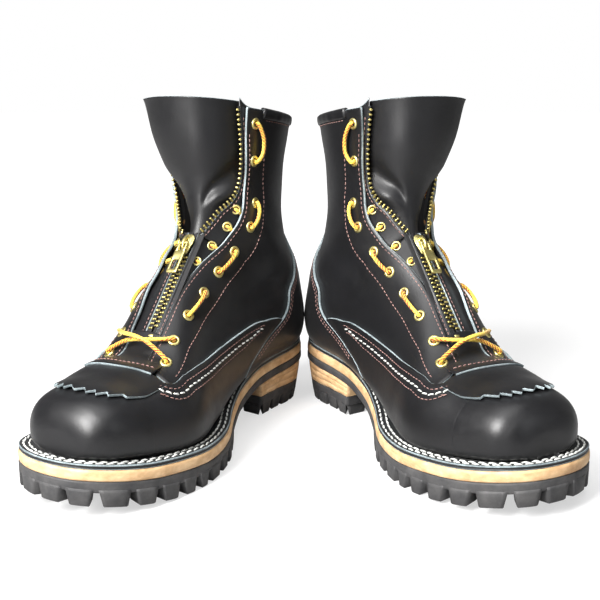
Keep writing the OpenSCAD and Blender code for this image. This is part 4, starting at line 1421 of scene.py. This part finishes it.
def eyelets():
    shape = Shape()
    for side in (MEDIAL, LATERAL):
        for t, p in EYELETS:
            t, p, lift = one(t, side * p, 0.05)
            add_eyelet(shape, skin(t, p, lift)[0], normal_at(t, p)[0], EYELET_R, EYELET_HOLE_R, EYELET_H)
    add_piece("eyelets", shape, [BRASS, HOLE_SHADE], stands_for=["eyelets"])
    small = Shape()
    for side in (MEDIAL, LATERAL):
        for t in PANEL_ROWS:
            centre, n = panel_spot(side, t)
            add_eyelet(small, centre, n, PANEL_EYELET_R, EYELET_HOLE_R, PANEL_EYELET_H)
    add_piece("panel_eyelets", small, [BRASS, HOLE_SHADE], stands_for=["panel_eyelets"])


LACE_UP = EYELET_H + LACE_D / 2 + 0.1
LACE_STEP = 0.65
LACE_SIDES = 16
BRAID_PITCH = 2.6
BRAID_STRANDS = 4
STRAND_RISE = 0.13


def hole(side, k, d):
    """Point at height d over eyelet k."""
    t, p = EYELETS[k]
    return skin(*one(t, side * p, d))[0]


def lace_side(side):
    """One side's lace from the top eyelet down: over two eyelets, then under to the insert."""
    route = []
    for k in (9, 7, 5, 3):
        a, b = hole(side, k, LACE_UP + 1.2), hole(side, k - 1, LACE_UP + 1.2)
        slack = (6.0 if k == 9 else 2.2 if k == 7 else 0.6)
        (t0, p0), (t1, p1), (t2, _) = EYELETS[k], EYELETS[k - 1], EYELETS[k - 2]
        t, p = one((t0 + t1) / 2, side * (p0 + p1) / 2)
        back = unit(last_at(t, p + side * 2) - last_at(t, p))[0] * slack
        inner, lower = hole(side, k - 1, -LEATHER_T - 1), hole(side, k - 2, -LEATHER_T - 1)
        spot = panel_point(side, (t1 + t2) / 2)
        middle = mix(inner, lower, 0.5) + 0.5 * (spot - mix(hole(side, k - 1, 0), hole(side, k - 2, 0), 0.5))
        route += [hole(side, k, LACE_UP - 2.4), hole(side, k, LACE_UP - 0.6) + 0.3 * back,
                  mix(a, b, 0.3) + back, mix(a, b, 0.7) + back,
                  hole(side, k - 1, LACE_UP - 0.6) + 0.3 * back, hole(side, k - 1, LACE_UP - 2.4),
                  inner, middle, lower]
    return route


def cross_lace(a, b, rise, bow):
    """A lace that crosses the throat, bowed upwards, with a soft wave."""
    points = []
    for u in (0.1, 0.3, 0.5, 0.7, 0.9):
        lift = np.array([0, 0.7, 0.7]) * rise * math.sin(math.pi * u)
        points.append(mix(a, b, u) + lift + np.array([0, 1.0, -0.6]) * bow * math.sin(2 * math.pi * u))
    return points


def lace_route():
    """Points of the whole lace, from one top eyelet across the throat to the other."""
    m, l = MEDIAL, LATERAL
    low = LACE_UP
    route = lace_side(m) + [hole(m, 1, low - 2.2), hole(m, 1, low)]
    route += cross_lace(hole(m, 1, low), hole(l, 0, low), 7, 1.5)
    route += [hole(l, 0, low), hole(l, 0, low - 2.2), hole(l, 0, -LEATHER_T - 4), hole(m, 0, -LEATHER_T - 4),
              hole(m, 0, low - 2.2), hole(m, 0, low)]
    route += cross_lace(hole(m, 0, low), hole(l, 1, low), 12, -1.5)
    route += [hole(l, 1, low), hole(l, 1, low - 2.2)] + lace_side(l)[::-1]
    return np.array(route)


def braided(points, radius):
    """Radii of a braided cord at points a step apart: its strands stand out of the tube."""
    length = np.arange(len(points))[:, None] * LACE_STEP
    angle = np.arange(LACE_SIDES)[None] / LACE_SIDES
    strands = [np.sin(2 * math.pi * (length / BRAID_PITCH + way * BRAID_STRANDS * angle)) for way in (1, -1)]
    return radius + STRAND_RISE * np.maximum(*strands)


def lace():
    """The lace as a braided cord, with a short stub in each eyelet of the insert."""
    route = lace_route()
    fine = along(route, np.linspace(0, len(route) - 1.001, len(route) * 24))
    for _ in range(3):
        fine[1:-1] = (fine[:-2] + 2 * fine[1:-1] + fine[2:]) / 4
    points = resample(fine, LACE_STEP)
    shape = Shape()
    add_tube(shape, points, braided(points, LACE_D / 2 - 0.12), LACE_SIDES)
    for side in (MEDIAL, LATERAL):
        for t in PANEL_ROWS:
            seat, n = panel_spot(side, t)
            under = bare_skin(*one(t, side * (quarter_front(t) + 7), -LEATHER_T - 1.2))[0]
            stub = np.array([seat - 2 * n, seat + 0.4 * n, mix(seat, under, 0.2) + 1.2 * n,
                             mix(seat, under, 0.6) + 0.5 * n, under])
            stub = resample(along(stub, np.linspace(0, 3.999, 60)), LACE_STEP)
            add_tube(shape, stub, braided(stub, LACE_D / 2 - 0.2), LACE_SIDES)
    add_piece("lace", shape, [LACE], stands_for=["lace"])


# ---- seams ----
def seam_rows(shape, t, p, offsets, height, **options):
    """Rows of stitches beside the curve through rows t and angles p, each moved by an offset."""
    for offset in offsets:
        ts, ps = shifted(t, p, np.full(t.shape, offset))
        sewn(shape, ts, ps, height, **options)


def seams():
    """Every row of fine stitches on the uppers, and the heavy rows over the arch patches."""
    fine, heavy = Shape(), Shape()
    for side in (MEDIAL, LATERAL):
        t = np.linspace(4.66, 12.35, 400)
        seam_rows(fine, t, side * quarter_front(t), [side * 3.0], 0.0)
        rows = np.array(EYELETS)
        t = np.linspace(4.85, 12.3, 300)
        p = np.interp(t, rows[:, 0], rows[:, 1])
        for _ in range(30):
            p[1:-1] = (p[:-2] + 2 * p[1:-1] + p[2:]) / 4
        seam_rows(fine, t, side * p, [side * 11.5], 0.0)
        t = np.linspace(4.35, 8.3, 300)
        top = side * value(ARCH_TOP, t)
        height = arch_lift(t) + 0.55 + COVER_T
        seam_rows(fine, t, top, [side * 4.2, side * 12.0], height - 0.02)
        seam_rows(heavy, t, top, [side * 8.2], height - 0.05, length=4.4, space=0.9, radius=0.62, slant=-9)
        t = np.linspace(7.75, 11.2, 260)
        edge = side * value(COUNTER_EDGE, t)
        seam_rows(fine, t, edge, [side * 2.4, side * 5.0], 0.4 + COVER_T, length=2.2)
        p = np.linspace(84, 179, 200)
        sewn(fine, TOP - (BAND_H + 1.6) * band_rows(p), side * p, 0.0)
        add_stitches(fine, *panel_line(side, 2.6))
    p = np.linspace(-24, 30, 80)
    sewn(fine, 4.68 - 0.12 * np.cos(math.pi * (p - 3) / 54), p, 2.85)
    add_piece("fine_stitches", fine, [BROWN_THREAD])
    add_piece("heavy_stitches", heavy, [WHITE_THREAD])


# ---- carried-over CAD pieces ----
CAD_FINISH = {"insole": NATURAL, "shank": STEEL, "heel_nails": STEEL, "toe_stiffener": BOARD,
              "heel_stiffener": BOARD}


def finish_cad_pieces():
    for side_name in SIDES:
        for piece, material in CAD_FINISH.items():
            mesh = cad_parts[f"{side_name}_{piece}"].data
            mesh.materials.clear()
            mesh.materials.append(material)


# ---- stage ----
def camera():
    """Camera a little above the boots, in front of the toes."""
    data = bpy.data.cameras.new("camera")
    look_down, look_left = 12.94, 0.4
    data.lens = 59.5
    data.sensor_width = 36
    data.clip_start = 0.01
    obj = bpy.data.objects.new("camera", data)
    obj.location = (0.002, -0.698, 0.2675)
    obj.rotation_euler = (math.radians(90 - look_down), 0, math.radians(look_left))
    link(obj)
    bpy.context.scene.camera = obj


def area_light(name, location, aim, size, power, colour=(1, 1, 1)):
    data = bpy.data.lights.new(name, "AREA")
    data.shape = "RECTANGLE"
    data.size, data.size_y = size
    data.energy = power
    data.color = colour
    obj = bpy.data.objects.new(name, data)
    obj.location = location
    direction = np.array(aim, float) - np.array(location, float)
    obj.rotation_euler = Vector(direction).to_track_quat("-Z", "Y").to_euler()
    link(obj)


def studio():
    """White surround, a large key light from the left, and a floor that brightens with distance."""
    world = bpy.data.worlds.new("studio")
    bpy.context.scene.world = world
    world.use_nodes = True
    nodes, links = world.node_tree.nodes, world.node_tree.links
    background = nodes["Background"]
    path = nodes.new("ShaderNodeLightPath")
    seen = nodes.new("ShaderNodeMapRange")
    seen.inputs["To Min"].default_value = 0.07
    seen.inputs["To Max"].default_value = 1.0
    links.new(path.outputs["Is Camera Ray"], seen.inputs["Value"])
    links.new(seen.outputs[0], background.inputs["Strength"])
    background.inputs[0].default_value = (1, 1, 1, 1)
    area_light("key", (-0.75, -0.95, 0.95), (0, 0, 0.08), (0.5, 0.9), 56, (1, 0.99, 0.98))
    area_light("top", (0, -0.25, 1.5), (0, 0, 0.1), (1.2, 0.9), 7)
    area_light("fill", (0.95, -0.8, 0.7), (0, 0, 0.1), (0.5, 0.8), 2, (0.96, 0.98, 1))
    sun = bpy.data.lights.new("sun", "SUN")
    sun.energy = 1.2
    sun.angle = math.radians(70)
    sun_obj = bpy.data.objects.new("sun", sun)
    sun_obj.rotation_euler = (math.radians(22), math.radians(-14), 0)
    link(sun_obj)
    floor_mesh = bpy.data.meshes.new("floor")
    reach = 6.0
    floor_mesh.from_pydata([(x * reach, y * reach, 0) for x, y in ((-1, -1), (1, -1), (1, 1), (-1, 1))], [],
                           [(0, 1, 2, 3)])
    floor = bpy.data.objects.new("floor", floor_mesh)
    link(floor)
    look = Look("floor")
    away = look.node("VectorMath", Vector=look.coords())
    away.operation = "LENGTH"
    glow = look.node("MapRange", Value=away.outputs["Value"], From_Min=0.35, From_Max=1.3,
                     To_Min=0.6, To_Max=0.95)
    shown = look.math("MULTIPLY", glow.outputs[0], look.node("LightPath").outputs["Is Camera Ray"])
    look.shade(Base_Color=(0.4, 0.4, 0.4, 1), Roughness=0.85)
    look.shade(Emission_Color=(1, 1, 1, 1), Emission_Strength=shown)
    floor_mesh.materials.append(look.material)
    bpy.context.scene.view_settings.view_transform = "Standard"


camera()
studio()
finish_cad_pieces()
outsole()
heel_lug()
heel_stack()
midsole()
welt()
welt_stitches()
vamp()
for side, side_word in ((MEDIAL, "medial"), (LATERAL, "lateral")):
    quarter(side, f"quarter_{side_word}")
    arch_patch(side, f"arch_patch_{side_word}")
    zip_panel(side, f"zip_panel_{side_word}")
    zip_tape(side, f"zip_tape_{side_word}")
    zip_teeth(side, f"zip_teeth_{side_word}")
counter_cover()
collar_band()
kiltie()
insert_base()
tongue()
zip_stop()
zip_slider()
pull_tab()
eyelets()
lace()
seams()
